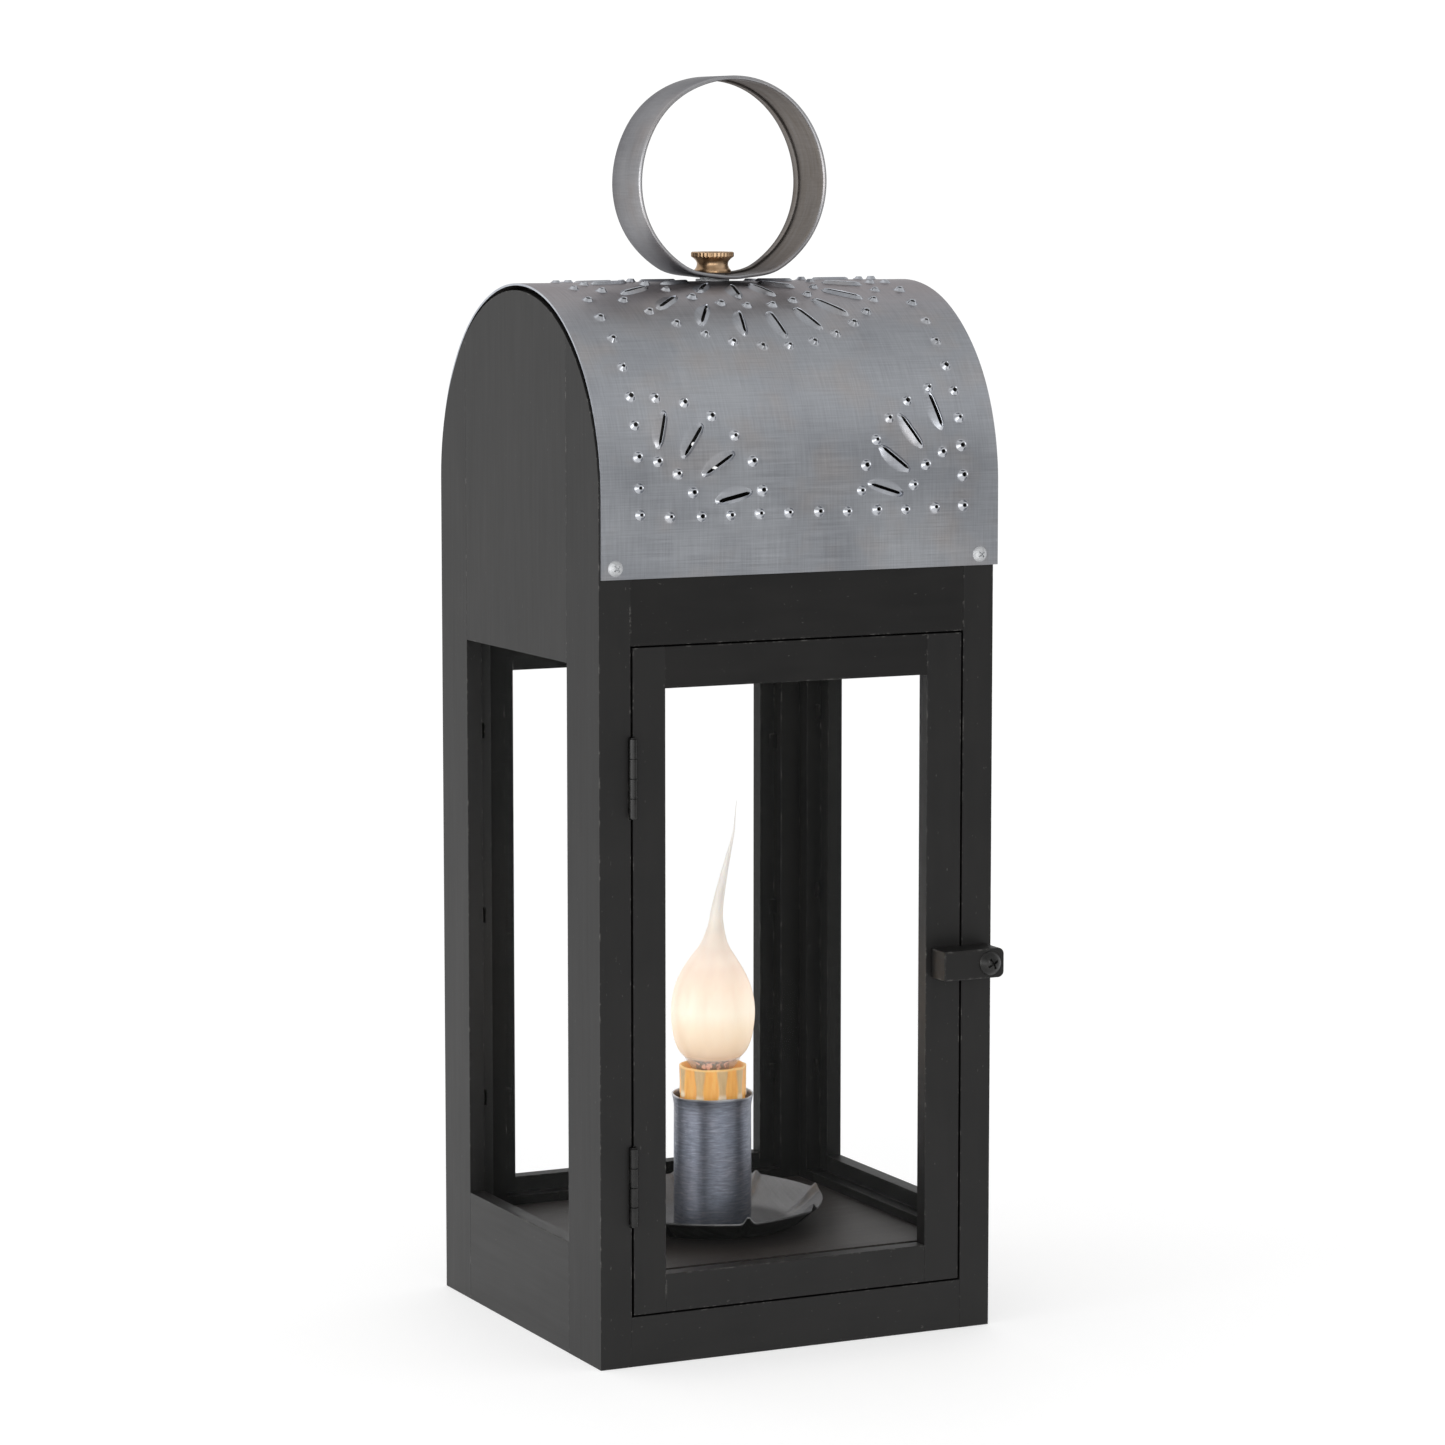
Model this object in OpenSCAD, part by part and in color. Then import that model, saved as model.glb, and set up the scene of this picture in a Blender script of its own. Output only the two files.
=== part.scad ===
// Tabletop candle lantern: a painted wooden case with an arched tin roof, a glazed front door on
// two butt hinges with a wooden turn button, a strap ring handle, and an electric candle inside.
// The origin is the centre of the case's footprint, on the surface that it stands on.
// +X is to the right when facing the door, +Y is towards the back and +Z is up. Millimetres.

/* [Case] */
// Width of the wooden case, outside to outside
body_w = 165; // [158:1:172]
// Depth of the wooden case, front face to back face
body_d = 150.5; // [146:0.5:156]
// Thickness of every board
board_t = 12.7; // [12:0.1:13.5]
// Height at which the straight sides turn into the arch
spring_h = 325; // [318:1:340]
// Width of the side boards' front stiles
front_stile_w = 29.2; // [26:0.1:32]
// Width of the side boards' rear stiles
rear_stile_w = 25.3; // [22:0.1:28]
// Height of the side windows' lower edge
side_sill_h = 43.1; // [41:0.1:48]
// Height of the side windows' upper edge
side_head_h = 263.1; // [240:0.1:270]
// Width of the back frame's stiles
back_stile_w = 15; // [12:0.5:20]
// Height of the back window's upper edge
back_head_h = 248; // [230:1:262]
// Height of the top edge of the front and back top rails
top_rail_h = 316; // [308:1:318]
// Height of the floor's upper face
floor_h = 33; // [30:0.5:35]

/* [Glazing] */
// Thickness of the wooden lip that each pane rests against
lip_t = 6.35; // [5:0.05:7]
// Width of the rabbet behind the lip
rabbet_w = 6.35; // [4:0.05:7]
// Thickness of the glass
glass_t = 2; // [1.6:0.1:3]

/* [Door] */
// Height of the fixed rail below the door
bottom_rail_h = 19; // [17:0.1:20]
// Height of the door's top edge
door_top_h = 270.6; // [262:0.1:275]
// Gap below and above the door
door_gap = 0.7; // [0.5:0.1:1.2]
// Gap at the hinged edge
hinge_gap = 1; // [0.8:0.1:1.2]
// Gap at the latched edge, which lets the back corner swing past the side board
latch_gap = 0.9; // [0.8:0.1:1.5]
// Width of the stile that carries the hinges
hinge_stile_w = 13.2; // [12:0.1:16]
// Width of the stile that meets the turn button
latch_stile_w = 14.6; // [13:0.1:20]
// Height of the door's bottom rail
door_bottom_rail = 14.4; // [13:0.1:18]
// Height of the door's top rail
door_top_rail = 15.5; // [13:0.1:18]

/* [Hinges] */
// Length of a hinge
hinge_len = 29.3; // [26:0.1:34]
// Outer diameter of the knuckles
knuckle_d = 3.2; // [3:0.1:3.6]
// Number of knuckles
knuckles = 4; // [2:2:6]
// Diameter of the hinge pin
hinge_pin_d = 1.5; // [1.2:0.1:1.6]
// Thickness of a leaf
leaf_t = 0.8; // [0.6:0.1:0.9]
// Length of a leaf from the pin's axis to its far edge
leaf_w = 10; // [9:0.5:11]
// Distance of the pin's axis in front of the case
hinge_out = 1.2; // [1.1:0.1:1.5]
// Height of the lower hinge's middle
lower_hinge_h = 68.7; // [60:0.1:100]
// Height of the upper hinge's middle
upper_hinge_h = 222.4; // [190:0.1:230]

/* [Turn button] */
// Height of the turn button's screw
button_h = 144.2; // [100:0.1:190]
// Length of the arm from the screw's axis to its end over the door
button_arm = 19.8; // [16:0.1:24]
// Length of the other end from the screw's axis
button_tail = 6; // [5:0.1:7]
// Height of the block
button_tall = 11.4; // [9:0.1:14]
// Thickness of the block, front to back
button_t = 11; // [8:0.1:12]
// Diameter of the button's screw head
button_head_d = 9.4; // [8:0.1:10.5]

/* [Roof] */
// Height of the roof sheet's lower edges
roof_edge_h = 296.1; // [290:0.1:305]
// Outer height of the roof sheet's ridge
roof_top_h = 402.9; // [400:0.1:410]
// Thickness of the sheet
roof_t = 0.8; // [0.6:0.1:1]
// Distance from the sheet's left edge to the case's left face
roof_inset = 0.7; // [0:0.1:2]
// Distance that the sheet overhangs the case's right face
roof_overhang = 1.5; // [0:0.1:3]
// Height of the roof screws
roof_screw_h = 300.3; // [298:0.1:303]

/* [Ring handle] */
// Outer diameter of the ring
ring_d = 77.8; // [70:0.1:90]
// How far the ring's centre stands right of its bolt hole
ring_off = 2.9; // [0:0.1:4]
// Width of the strap
ring_w = 26; // [20:0.5:32]
// Thickness of the strap
strap_t = 0.8; // [0.6:0.1:1]
// Width of the hems folded inward along the strap's edges
hem_w = 4.5; // [3:0.1:5]

/* [Candle] */
// Diameter of the drip pan
pan_d = 88; // [80:1:100]
// Height of the pan's rim above the floor
pan_rise = 10.6; // [4:0.1:12]
// Outer diameter of the tin candle tube
tube_d = 30.4; // [29.5:0.1:32]
// Height of the tube's top
tube_top_h = 85; // [78:0.1:90]
// Outer diameter of the drip sleeve
sleeve_d = 26.5; // [25.5:0.1:27]
// Height of the sleeve's top
sleeve_top_h = 96.5; // [95:0.1:97]
// Outer diameter of the lamp socket
socket_d = 21; // [19:0.1:22]

/* [Bulb] */
// Largest diameter of the flame-shaped bulb
bulb_d = 33; // [30:0.5:34]
// Height of the tip of its tail
bulb_tip_h = 200; // [180:1:210]
// Distance that the tip leans to the right
bulb_lean = 9.5; // [0:0.5:12]

/* [Hidden] */

$fn = 72;
overcut = 1;

half_w = body_w / 2;
half_d = body_d / 2;
inner_x = half_w - board_t;
inner_y = half_d - board_t;
case_front = -half_d;

paint_black = [0.13, 0.125, 0.12];
tin_grey = [0.5, 0.53, 0.57];
glass_blue = [0.82, 0.9, 0.92, 0.35];
steel_grey = [0.66, 0.67, 0.68];

// Side windows, in the side board's own plane
side_y0 = case_front + front_stile_w;
side_y1 = half_d - rear_stile_w;

// Back window
back_x0 = -inner_x + back_stile_w;
back_x1 = inner_x - back_stile_w;
back_sill_h = side_sill_h;

// Door outline and its window
door_x0 = -inner_x + hinge_gap;
door_x1 = inner_x - latch_gap;
door_z0 = bottom_rail_h + door_gap;
door_win_x0 = door_x0 + hinge_stile_w;
door_win_x1 = door_x1 - latch_stile_w;
door_win_z0 = door_z0 + door_bottom_rail;
door_win_z1 = door_top_h - door_top_rail;

// Floor board
floor_t = board_t;
floor_gap = 0.3;

// Glass edges stop short of the rabbet's wall
pane_play = 0.5;
pane_edge = rabbet_w - pane_play;
point_t = 0.5;
point_w = 6;
point_out = 3.2;
point_in = 3.5;
points_per_stile = 3;

// Hinges: leaves are let into both wooden edges
hinge_x = -inner_x + hinge_gap / 2;
hinge_y = case_front - hinge_out;
leaf_half_gap = 0.1;
knuckle_gap = 0.3;
knuckle_len = (hinge_len - (knuckles - 1) * knuckle_gap) / knuckles;
knuckle_clear = 0.25;
pin_clear = 0.05;
pin_head_h = 0.5;
hinge_screw_d = 1.8;
hinge_screw_head_d = 3.4;
hinge_screw_len = 6.8;
hinge_screw_y = hinge_y + leaf_w - 3.2;
hinge_screw_step = hinge_len / 2 - 5.5;

// Turn button
button_x = half_w - board_t / 2;
button_gap = 0.3;
button_screw_d = 4;
button_screw_depth = 13;
button_bore_d = button_screw_d + 0.1;
button_corner = 2.4;
button_back = case_front - button_gap;
button_face = button_back - button_t;
button_head_t = 2.6;
head_gap = 0.15;

// Roof: a half round on two short straight legs, just clear of the boards' faces
roof_r_in = half_d + 0.1;
roof_r_out = roof_r_in + roof_t;
roof_spring_h = roof_top_h - roof_r_out;
roof_x0 = -half_w + roof_inset;
roof_x1 = half_w + roof_overhang;
roof_screw_x = half_w - board_t / 2;
roof_screw_d = 2.8;
roof_screw_len = 13;
roof_head_d = 6;
roof_head_t = 1.9;

// Ring handle and the stud that holds it
stud_d = 9.6;
stud_bore_d = stud_d + 0.15;
stud_bottom_h = 392.5;
ring_washer_t = 0.8;
ring_washer_d = 13;
ring_seat_h = roof_top_h + ring_washer_t + 0.05;
ring_h = ring_seat_h + ring_d / 2;
nut_base_d = 14.3;
nut_flange_d = 16.6;
nut_waist_d = 12;
nut_h0 = ring_seat_h + strap_t + 1.4;
nut_h1 = nut_h0 + 8.2;
nut_flange_t = 2.2;
stud_washer_d = 22;
stud_washer_t = 1.2;
stud_washer_h = roof_top_h - roof_t - 0.85 - stud_washer_t;
hex_af = 14;
hex_t = 5.5;

// Candle
pan_t = 0.8;
pan_flat_r = 31;
tube_wall = 0.6;
flare = 0.8;
flare_h = 1.6;
sleeve_wall = 1.2;
nipple_d = 9.6;
nipple_hole_d = 10;
nipple_bottom_h = 14.6;
nipple_top_h = 60;
nipple_wire_d = 6;
locknut_t = 4.2;
washer_d = 22;
washer_t = 1;
under_floor_h = floor_h - floor_t;
pan_top_h = floor_h + pan_t;
socket_bottom_h = 52;
socket_top_h = 92.2;
socket_floor_h = 74;
shell_d = 13.6;
shell_wall = 0.4;
shell_neck_h = 90;
shell_flare = 2.2;

// Bulb
base_d = 11.7;
base_bottom_h = 76.6;
base_top_h = 91;
skin_t = 0.9;
glass_wall = 0.8;
glass_h = 51;
neck_r = 6.6;
neck_h = 1.5;
belly_h = 25;
flame_h = 56;
flame_step = 3.5;
tail_root_r = 4.1;
tail_end_r = 0.35;
tail_steps = 6;

// Cord outlet
bushing_h = 9.2;
bushing_bore_d = 6.4;
bushing_d = 9.6;
bushing_flange_d = 13;
bushing_flange_t = 1.6;

// ---- Shared shapes ----

// Extrudes an outline drawn in the Y-Z plane along +X from x0
module along_x(x0, width) {
    translate([x0, 0, 0]) rotate([90, 0, 90]) linear_extrude(height = width) children();
}

// Block between two opposite corners
module block(low, high) {
    translate(low) cube(high - low);
}

// Cylinder along +Y from y0
module rod_y(x, y0, z, length, diameter) {
    translate([x, y0, z]) rotate([-90, 0, 0]) cylinder(h = length, d = diameter);
}

// Cylinder along +Z from z0 on the lantern's axis
module rod_z(z0, z1, diameter) {
    translate([0, 0, z0]) cylinder(h = z1 - z0, d = diameter);
}

// Outline of a side board: a rectangle with a half-round top
module side_outline() {
    translate([-half_d, 0]) square([body_d, spring_h]);
    translate([0, spring_h]) circle(d = body_d, $fn = 144);
}

// Part of the left side board between two depths and two heights, rabbeted inside for the pane
module side_piece(y0, y1, z0, z1) {
    difference() {
        along_x(-half_w, board_t) intersection() {
            side_outline();
            translate([y0, z0]) square([y1 - y0, z1 - z0]);
        }
        block([-half_w + lip_t, side_y0 - rabbet_w, side_sill_h - rabbet_w],
              [-inner_x + overcut, side_y1 + rabbet_w, side_head_h + rabbet_w]);
    }
}

module right_side() {
    mirror([1, 0, 0]) children();
}

// Pilot hole of a roof screw in a side board's edge; facing is -1 at the front and 1 at the back
module roof_pilot(side, facing) {
    translate([side * roof_screw_x, facing * (half_d + overcut), roof_screw_h])
        rotate([facing * 90, 0, 0])
            cylinder(h = roof_screw_len - roof_t + overcut, d = roof_screw_d);
}

// Rabbet behind the lips of a frame that faces front or back; lip_y is the lip's inner face
module frame_rabbet(x0, x1, z0, z1, lip_y, depth) {
    block([x0 - rabbet_w, lip_y, z0 - rabbet_w], [x1 + rabbet_w, lip_y + depth, z1 + rabbet_w]);
}

// ---- Case ----

module left_front_stile() {
    color(paint_black) difference() {
        side_piece(case_front, side_y0, 0, spring_h + half_d);
        for (h = [lower_hinge_h, upper_hinge_h]) hinge_recess(h, -1);
        roof_pilot(-1, -1);
    }
}

module left_rear_stile() {
    color(paint_black) difference() {
        side_piece(side_y1, half_d, 0, spring_h + half_d);
        roof_pilot(-1, 1);
    }
}

module left_gable_panel() {
    color(paint_black) side_piece(side_y0, side_y1, side_head_h, spring_h + half_d);
}

module left_bottom_rail() {
    color(paint_black) side_piece(side_y0, side_y1, 0, side_sill_h);
}

module right_front_stile() {
    color(paint_black) difference() {
        right_side() side_piece(case_front, side_y0, 0, spring_h + half_d);
        rod_y(button_x, case_front - overcut, button_h, button_screw_depth + overcut, button_screw_d);
        roof_pilot(1, -1);
    }
}

module right_rear_stile() {
    color(paint_black) difference() {
        right_side() side_piece(side_y1, half_d, 0, spring_h + half_d);
        roof_pilot(1, 1);
    }
}

module right_gable_panel() {
    color(paint_black) right_side() side_piece(side_y0, side_y1, side_head_h, spring_h + half_d);
}

module right_bottom_rail() {
    color(paint_black) right_side() side_piece(side_y0, side_y1, 0, side_sill_h);
}

module front_top_rail() {
    color(paint_black)
        block([-inner_x, case_front, door_top_h + door_gap], [inner_x, -inner_y, top_rail_h]);
}

module front_bottom_rail() {
    color(paint_black) block([-inner_x, case_front, 0], [inner_x, -inner_y, bottom_rail_h]);
}

module back_rabbet() {
    frame_rabbet(back_x0, back_x1, back_sill_h, back_head_h, inner_y - overcut,
                 half_d - lip_t - inner_y + overcut);
}

module back_left_stile() {
    color(paint_black) difference() {
        block([-inner_x, inner_y, 0], [back_x0, half_d, top_rail_h]);
        back_rabbet();
    }
}

module back_right_stile() {
    color(paint_black) difference() {
        block([back_x1, inner_y, 0], [inner_x, half_d, top_rail_h]);
        back_rabbet();
    }
}

module back_top_rail() {
    color(paint_black) difference() {
        block([back_x0, inner_y, back_head_h], [back_x1, half_d, top_rail_h]);
        back_rabbet();
    }
}

module back_bottom_rail() {
    color(paint_black) difference() {
        block([back_x0, inner_y, 0], [back_x1, half_d, back_sill_h]);
        back_rabbet();
        rod_y(0, inner_y - overcut, bushing_h, board_t + 2 * overcut, bushing_d);
    }
}

module floor_board() {
    color(paint_black) difference() {
        block([-inner_x, -inner_y + floor_gap, under_floor_h], [inner_x, inner_y, floor_h]);
        rod_z(under_floor_h - overcut, floor_h + overcut, nipple_hole_d);
    }
}

// ---- Glass and the points that hold it ----

module side_pane() {
    block([-half_w + lip_t, side_y0 - pane_edge, side_sill_h - pane_edge],
          [-half_w + lip_t + glass_t, side_y1 + pane_edge, side_head_h + pane_edge]);
}

module left_glass() {
    color(glass_blue) side_pane();
}

module right_glass() {
    color(glass_blue) right_side() side_pane();
}

module back_glass() {
    color(glass_blue)
        block([back_x0 - pane_edge, half_d - lip_t - glass_t, back_sill_h - pane_edge],
              [back_x1 + pane_edge, half_d - lip_t, back_head_h + pane_edge]);
}

module door_glass() {
    color(glass_blue)
        block([door_win_x0 - pane_edge, case_front + lip_t, door_win_z0 - pane_edge],
              [door_win_x1 + pane_edge, case_front + lip_t + glass_t, door_win_z1 + pane_edge]);
}

// Height of point i of a stile, spread evenly over the window
function point_height(i, z0, z1) = z0 + (z1 - z0) * (i + 0.5) / points_per_stile;

// Thin steel points driven into the walls of a rabbet at u0 and u1, lying on the pane.
// Drawn in a frame whose X runs across the window and whose +Y leaves the pane.
module point_rows(u0, u1, z0, z1) {
    for (i = [0 : points_per_stile - 1]) {
        z = point_height(i, z0, z1) - point_w / 2;
        translate([u0 - rabbet_w - point_in, 0, z]) cube([point_in + point_out, point_t, point_w]);
        translate([u1 + rabbet_w - point_out, 0, z]) cube([point_in + point_out, point_t, point_w]);
    }
}

module side_points() {
    translate([-half_w + lip_t + glass_t, 0, 0]) rotate([0, 0, -90])
        point_rows(-side_y1, -side_y0, side_sill_h, side_head_h);
}

module left_glass_points() {
    color(steel_grey) side_points();
}

module right_glass_points() {
    color(steel_grey) right_side() side_points();
}

module back_glass_points() {
    color(steel_grey) translate([0, half_d - lip_t - glass_t - point_t, 0])
        point_rows(back_x0, back_x1, back_sill_h, back_head_h);
}

module door_glass_points() {
    color(steel_grey) translate([0, case_front + lip_t + glass_t, 0])
        point_rows(door_win_x0, door_win_x1, door_win_z0, door_win_z1);
}

// ---- Door ----

module door_rabbet() {
    frame_rabbet(door_win_x0, door_win_x1, door_win_z0, door_win_z1, case_front + lip_t, board_t);
}

module door_hinge_stile() {
    color(paint_black) difference() {
        block([door_x0, case_front, door_z0], [door_win_x0, -inner_y, door_top_h]);
        door_rabbet();
        for (h = [lower_hinge_h, upper_hinge_h]) hinge_recess(h, 1);
    }
}

module door_latch_stile() {
    color(paint_black) difference() {
        block([door_win_x1, case_front, door_z0], [door_x1, -inner_y, door_top_h]);
        door_rabbet();
    }
}

module door_top_rail() {
    color(paint_black) difference() {
        block([door_win_x0, case_front, door_win_z1], [door_win_x1, -inner_y, door_top_h]);
        door_rabbet();
    }
}

module door_bottom_rail() {
    color(paint_black) difference() {
        block([door_win_x0, case_front, door_z0], [door_win_x1, -inner_y, door_win_z0]);
        door_rabbet();
    }
}

// ---- Hinges ----

// Lower end of knuckle i, measured from the hinge's middle
function knuckle_z(i) = -hinge_len / 2 + i * (knuckle_len + knuckle_gap);

// Plate of a leaf beside the pin's axis; side is -1 on the case and 1 on the door
module leaf_plate(side) {
    x0 = side < 0 ? -leaf_half_gap - leaf_t : leaf_half_gap;
    translate([x0, 0, -hinge_len / 2]) cube([leaf_t, leaf_w, hinge_len]);
}

// Recess for a leaf, the knuckles and the leaf's screws in one of the two wooden edges
module hinge_recess(h, side) {
    translate([hinge_x, hinge_y, h]) {
        leaf_plate(side);
        translate([0, 0, -hinge_len / 2 - pin_head_h - knuckle_clear])
            cylinder(h = hinge_len + 2 * (pin_head_h + knuckle_clear), d = knuckle_d + 2 * knuckle_clear);
    }
    hinge_screw_pair(h, side);
}

// One leaf: a plate with the alternate knuckles that belong to it
module hinge_leaf(h, side) {
    first = side < 0 ? 0 : 1;
    color(paint_black) difference() {
        translate([hinge_x, hinge_y, h]) difference() {
            union() {
                difference() {
                    leaf_plate(side);
                    for (i = [1 - first : 2 : knuckles - 1])
                        translate([0, 0, knuckle_z(i) - knuckle_gap])
                            cylinder(h = knuckle_len + 2 * knuckle_gap, d = knuckle_d + 2 * knuckle_clear);
                }
                for (i = [first : 2 : knuckles - 1])
                    translate([0, 0, knuckle_z(i)]) cylinder(h = knuckle_len, d = knuckle_d);
            }
            translate([0, 0, -hinge_len / 2 - overcut])
                cylinder(h = hinge_len + 2 * overcut, d = hinge_pin_d + 2 * pin_clear);
        }
        hinge_screw_pair(h, side);
    }
}

// Two countersunk screws of one leaf, their heads flush with the leaf's inner face
module hinge_screw_pair(h, side) {
    for (step = [-1, 1])
        translate([hinge_x + side * leaf_half_gap, hinge_screw_y, h + step * hinge_screw_step])
            rotate([0, side * 90, 0]) {
                cylinder(h = leaf_t, d1 = hinge_screw_head_d, d2 = hinge_screw_d);
                cylinder(h = hinge_screw_len, d = hinge_screw_d);
            }
}

module hinge_pin(h) {
    color(paint_black) translate([hinge_x, hinge_y, h]) {
        translate([0, 0, -hinge_len / 2]) cylinder(h = hinge_len, d = hinge_pin_d);
        for (end = [-hinge_len / 2 - pin_head_h, hinge_len / 2])
            translate([0, 0, end]) cylinder(h = pin_head_h, d = hinge_pin_d + 0.7);
    }
}

module upper_hinge_frame_leaf() {
    hinge_leaf(upper_hinge_h, -1);
}

module upper_hinge_door_leaf() {
    hinge_leaf(upper_hinge_h, 1);
}

module upper_hinge_pin() {
    hinge_pin(upper_hinge_h);
}

module lower_hinge_frame_leaf() {
    hinge_leaf(lower_hinge_h, -1);
}

module lower_hinge_door_leaf() {
    hinge_leaf(lower_hinge_h, 1);
}

module lower_hinge_pin() {
    hinge_pin(lower_hinge_h);
}

module hinge_frame_screws() {
    color(paint_black) for (h = [lower_hinge_h, upper_hinge_h]) hinge_screw_pair(h, -1);
}

module hinge_door_screws() {
    color(paint_black) for (h = [lower_hinge_h, upper_hinge_h]) hinge_screw_pair(h, 1);
}

// ---- Turn button ----

// Outline of the block seen from the front, with its screw at the origin and two rounded corners
module button_outline() {
    translate([-button_arm, -button_tall / 2])
        square([button_arm + button_tail - button_corner, button_tall]);
    translate([0, -button_tall / 2 + button_corner])
        square([button_tail, button_tall - 2 * button_corner]);
    for (side = [-1, 1])
        translate([button_tail - button_corner, side * (button_tall / 2 - button_corner)])
            circle(r = button_corner);
}

module turn_button() {
    color(paint_black) difference() {
        translate([button_x, button_back, button_h])
            rotate([90, 0, 0]) linear_extrude(height = button_t) button_outline();
        rod_y(button_x, button_face - overcut, button_h, button_t + 2 * overcut, button_bore_d);
    }
}

// Domed screw head whose flat side is at the origin and whose crown points along +Z
module domed_head(diameter, height) {
    ball_r = (pow(diameter / 2, 2) + pow(height, 2)) / (2 * height);
    intersection() {
        translate([0, 0, height - ball_r]) sphere(r = ball_r);
        cylinder(h = height, d = diameter);
    }
}

// Cross recess for a screwdriver, sunk from the crown at height top
module cross_recess(top, depth, span, slot) {
    for (turn = [0, 90])
        rotate([0, 0, turn]) translate([-span / 2, -slot / 2, top - depth])
            cube([span, slot, depth + overcut]);
}

module turn_button_screw() {
    head_seat = button_face - head_gap;
    color([0.05, 0.05, 0.05]) {
        rod_y(button_x, head_seat, button_h, case_front + button_screw_depth - head_seat, button_screw_d);
        translate([button_x, head_seat, button_h]) rotate([90, 0, 0]) difference() {
            domed_head(button_head_d, button_head_t);
            rotate([0, 0, 30]) cross_recess(button_head_t, 1.5, 4.6, 0.9);
        }
    }
}

// ---- Roof ----

// Half round on straight legs, the roof's outer or inner skin in the Y-Z plane, down to a height
module roof_outline(r, bottom) {
    difference() {
        translate([0, roof_spring_h]) circle(r = r, $fn = 144);
        translate([-r - overcut, roof_spring_h - r - overcut]) square([2 * (r + overcut), r + overcut]);
    }
    translate([-r, bottom]) square([2 * r, roof_spring_h - bottom]);
}

module roof_sheet() {
    color(tin_grey) difference() {
        along_x(roof_x0, roof_x1 - roof_x0) difference() {
            roof_outline(roof_r_out, roof_edge_h);
            roof_outline(roof_r_in, roof_edge_h - overcut);
        }
        rod_z(roof_top_h - 4, roof_top_h + overcut, stud_bore_d);
        for (x = [-roof_screw_x, roof_screw_x])
            rod_y(x, -half_d - 3, roof_screw_h, body_d + 6, roof_screw_d + 0.3);
    }
}

module roof_screws() {
    color(steel_grey) for (x = [-roof_screw_x, roof_screw_x])
        for (facing = [-1, 1])
            translate([x, facing * roof_r_out, roof_screw_h]) rotate([-facing * 90, 0, 0]) {
                difference() {
                    domed_head(roof_head_d, roof_head_t);
                    rotate([0, 0, 40]) cross_recess(roof_head_t, 1, 3, 0.6);
                }
                translate([0, 0, -roof_screw_len]) cylinder(h = roof_screw_len, d = roof_screw_d);
            }
}

// ---- Ring handle ----

module ring_handle() {
    outer = ring_d / 2;
    color(tin_grey) difference() {
        translate([ring_off, 0, ring_h]) rotate([90, 0, 0]) rotate_extrude($fn = 144) {
            translate([outer - strap_t, -ring_w / 2]) square([strap_t, ring_w]);
            translate([outer - 2 * strap_t, -ring_w / 2]) square([strap_t, hem_w]);
            translate([outer - 2 * strap_t, ring_w / 2 - hem_w]) square([strap_t, hem_w]);
        }
        rod_z(ring_seat_h - overcut, nut_h0, stud_bore_d);
    }
}

module handle_stud() {
    color(steel_grey) rod_z(stud_bottom_h, nut_h1 - 1.5, stud_d);
}

// Ring of rectangular section around the lantern's axis
module flat_washer(z0, thickness, outer_d, inner_d) {
    difference() {
        rod_z(z0, z0 + thickness, outer_d);
        rod_z(z0 - overcut, z0 + thickness + overcut, inner_d);
    }
}

// Hexagonal nut around the lantern's axis
module hex_nut(z0, thickness, inner_d) {
    difference() {
        translate([0, 0, z0]) cylinder(h = thickness, d = hex_af / cos(30), $fn = 6);
        rod_z(z0 - overcut, z0 + thickness + overcut, inner_d);
    }
}

module ring_washer() {
    color(tin_grey) flat_washer(roof_top_h, ring_washer_t, ring_washer_d, stud_d);
}

module stud_washer() {
    color(steel_grey) flat_washer(stud_washer_h, stud_washer_t, stud_washer_d, stud_d);
}

module stud_hex_nut() {
    color(steel_grey) hex_nut(stud_washer_h - hex_t, hex_t, stud_d);
}

// Waisted brass nut, drawn as half of its section
module thumb_nut() {
    flange_z = nut_h1 - nut_flange_t;
    waist_z = (nut_h0 + flange_z) / 2 + 0.4;
    color([0.62, 0.47, 0.26]) rotate_extrude() polygon([
        [stud_bore_d / 2, nut_h0],
        [nut_base_d / 2, nut_h0],
        [nut_base_d / 2, nut_h0 + 1.2],
        [nut_waist_d / 2, waist_z - 0.8],
        [nut_waist_d / 2, waist_z + 0.6],
        [nut_flange_d / 2 - 0.8, flange_z],
        [nut_flange_d / 2, flange_z + 0.3],
        [nut_flange_d / 2, nut_h1 - 0.3],
        [nut_flange_d / 2 - 0.4, nut_h1],
        [stud_bore_d / 2, nut_h1]
    ]);
}

// ---- Candle ----

module candle_pan() {
    rim_r = pan_d / 2;
    hole_r = nipple_hole_d / 2;
    color(tin_grey) rotate_extrude($fn = 144) polygon([
        [hole_r, floor_h],
        [pan_flat_r, floor_h],
        [rim_r, floor_h + pan_rise - pan_t],
        [rim_r, floor_h + pan_rise],
        [pan_flat_r, pan_top_h],
        [hole_r, pan_top_h]
    ]);
}

module candle_tube() {
    r = tube_d / 2;
    color([0.36, 0.4, 0.46]) rotate_extrude() polygon([
        [r - tube_wall, pan_top_h],
        [r, pan_top_h],
        [r, tube_top_h - flare_h],
        [r + flare, tube_top_h - 0.3],
        [r + flare, tube_top_h],
        [r + flare - tube_wall, tube_top_h],
        [r - tube_wall, tube_top_h - flare_h]
    ]);
}

module candle_sleeve() {
    color([0.84, 0.6, 0.25])
        flat_washer(pan_top_h, sleeve_top_h - pan_top_h, sleeve_d, sleeve_d - 2 * sleeve_wall);
}

module lamp_nipple() {
    color(steel_grey)
        flat_washer(nipple_bottom_h, nipple_top_h - nipple_bottom_h, nipple_d, nipple_wire_d);
}

module nipple_locknuts() {
    color(steel_grey) {
        hex_nut(pan_top_h, locknut_t, nipple_d);
        hex_nut(under_floor_h - washer_t - locknut_t, locknut_t, nipple_d);
    }
}

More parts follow.
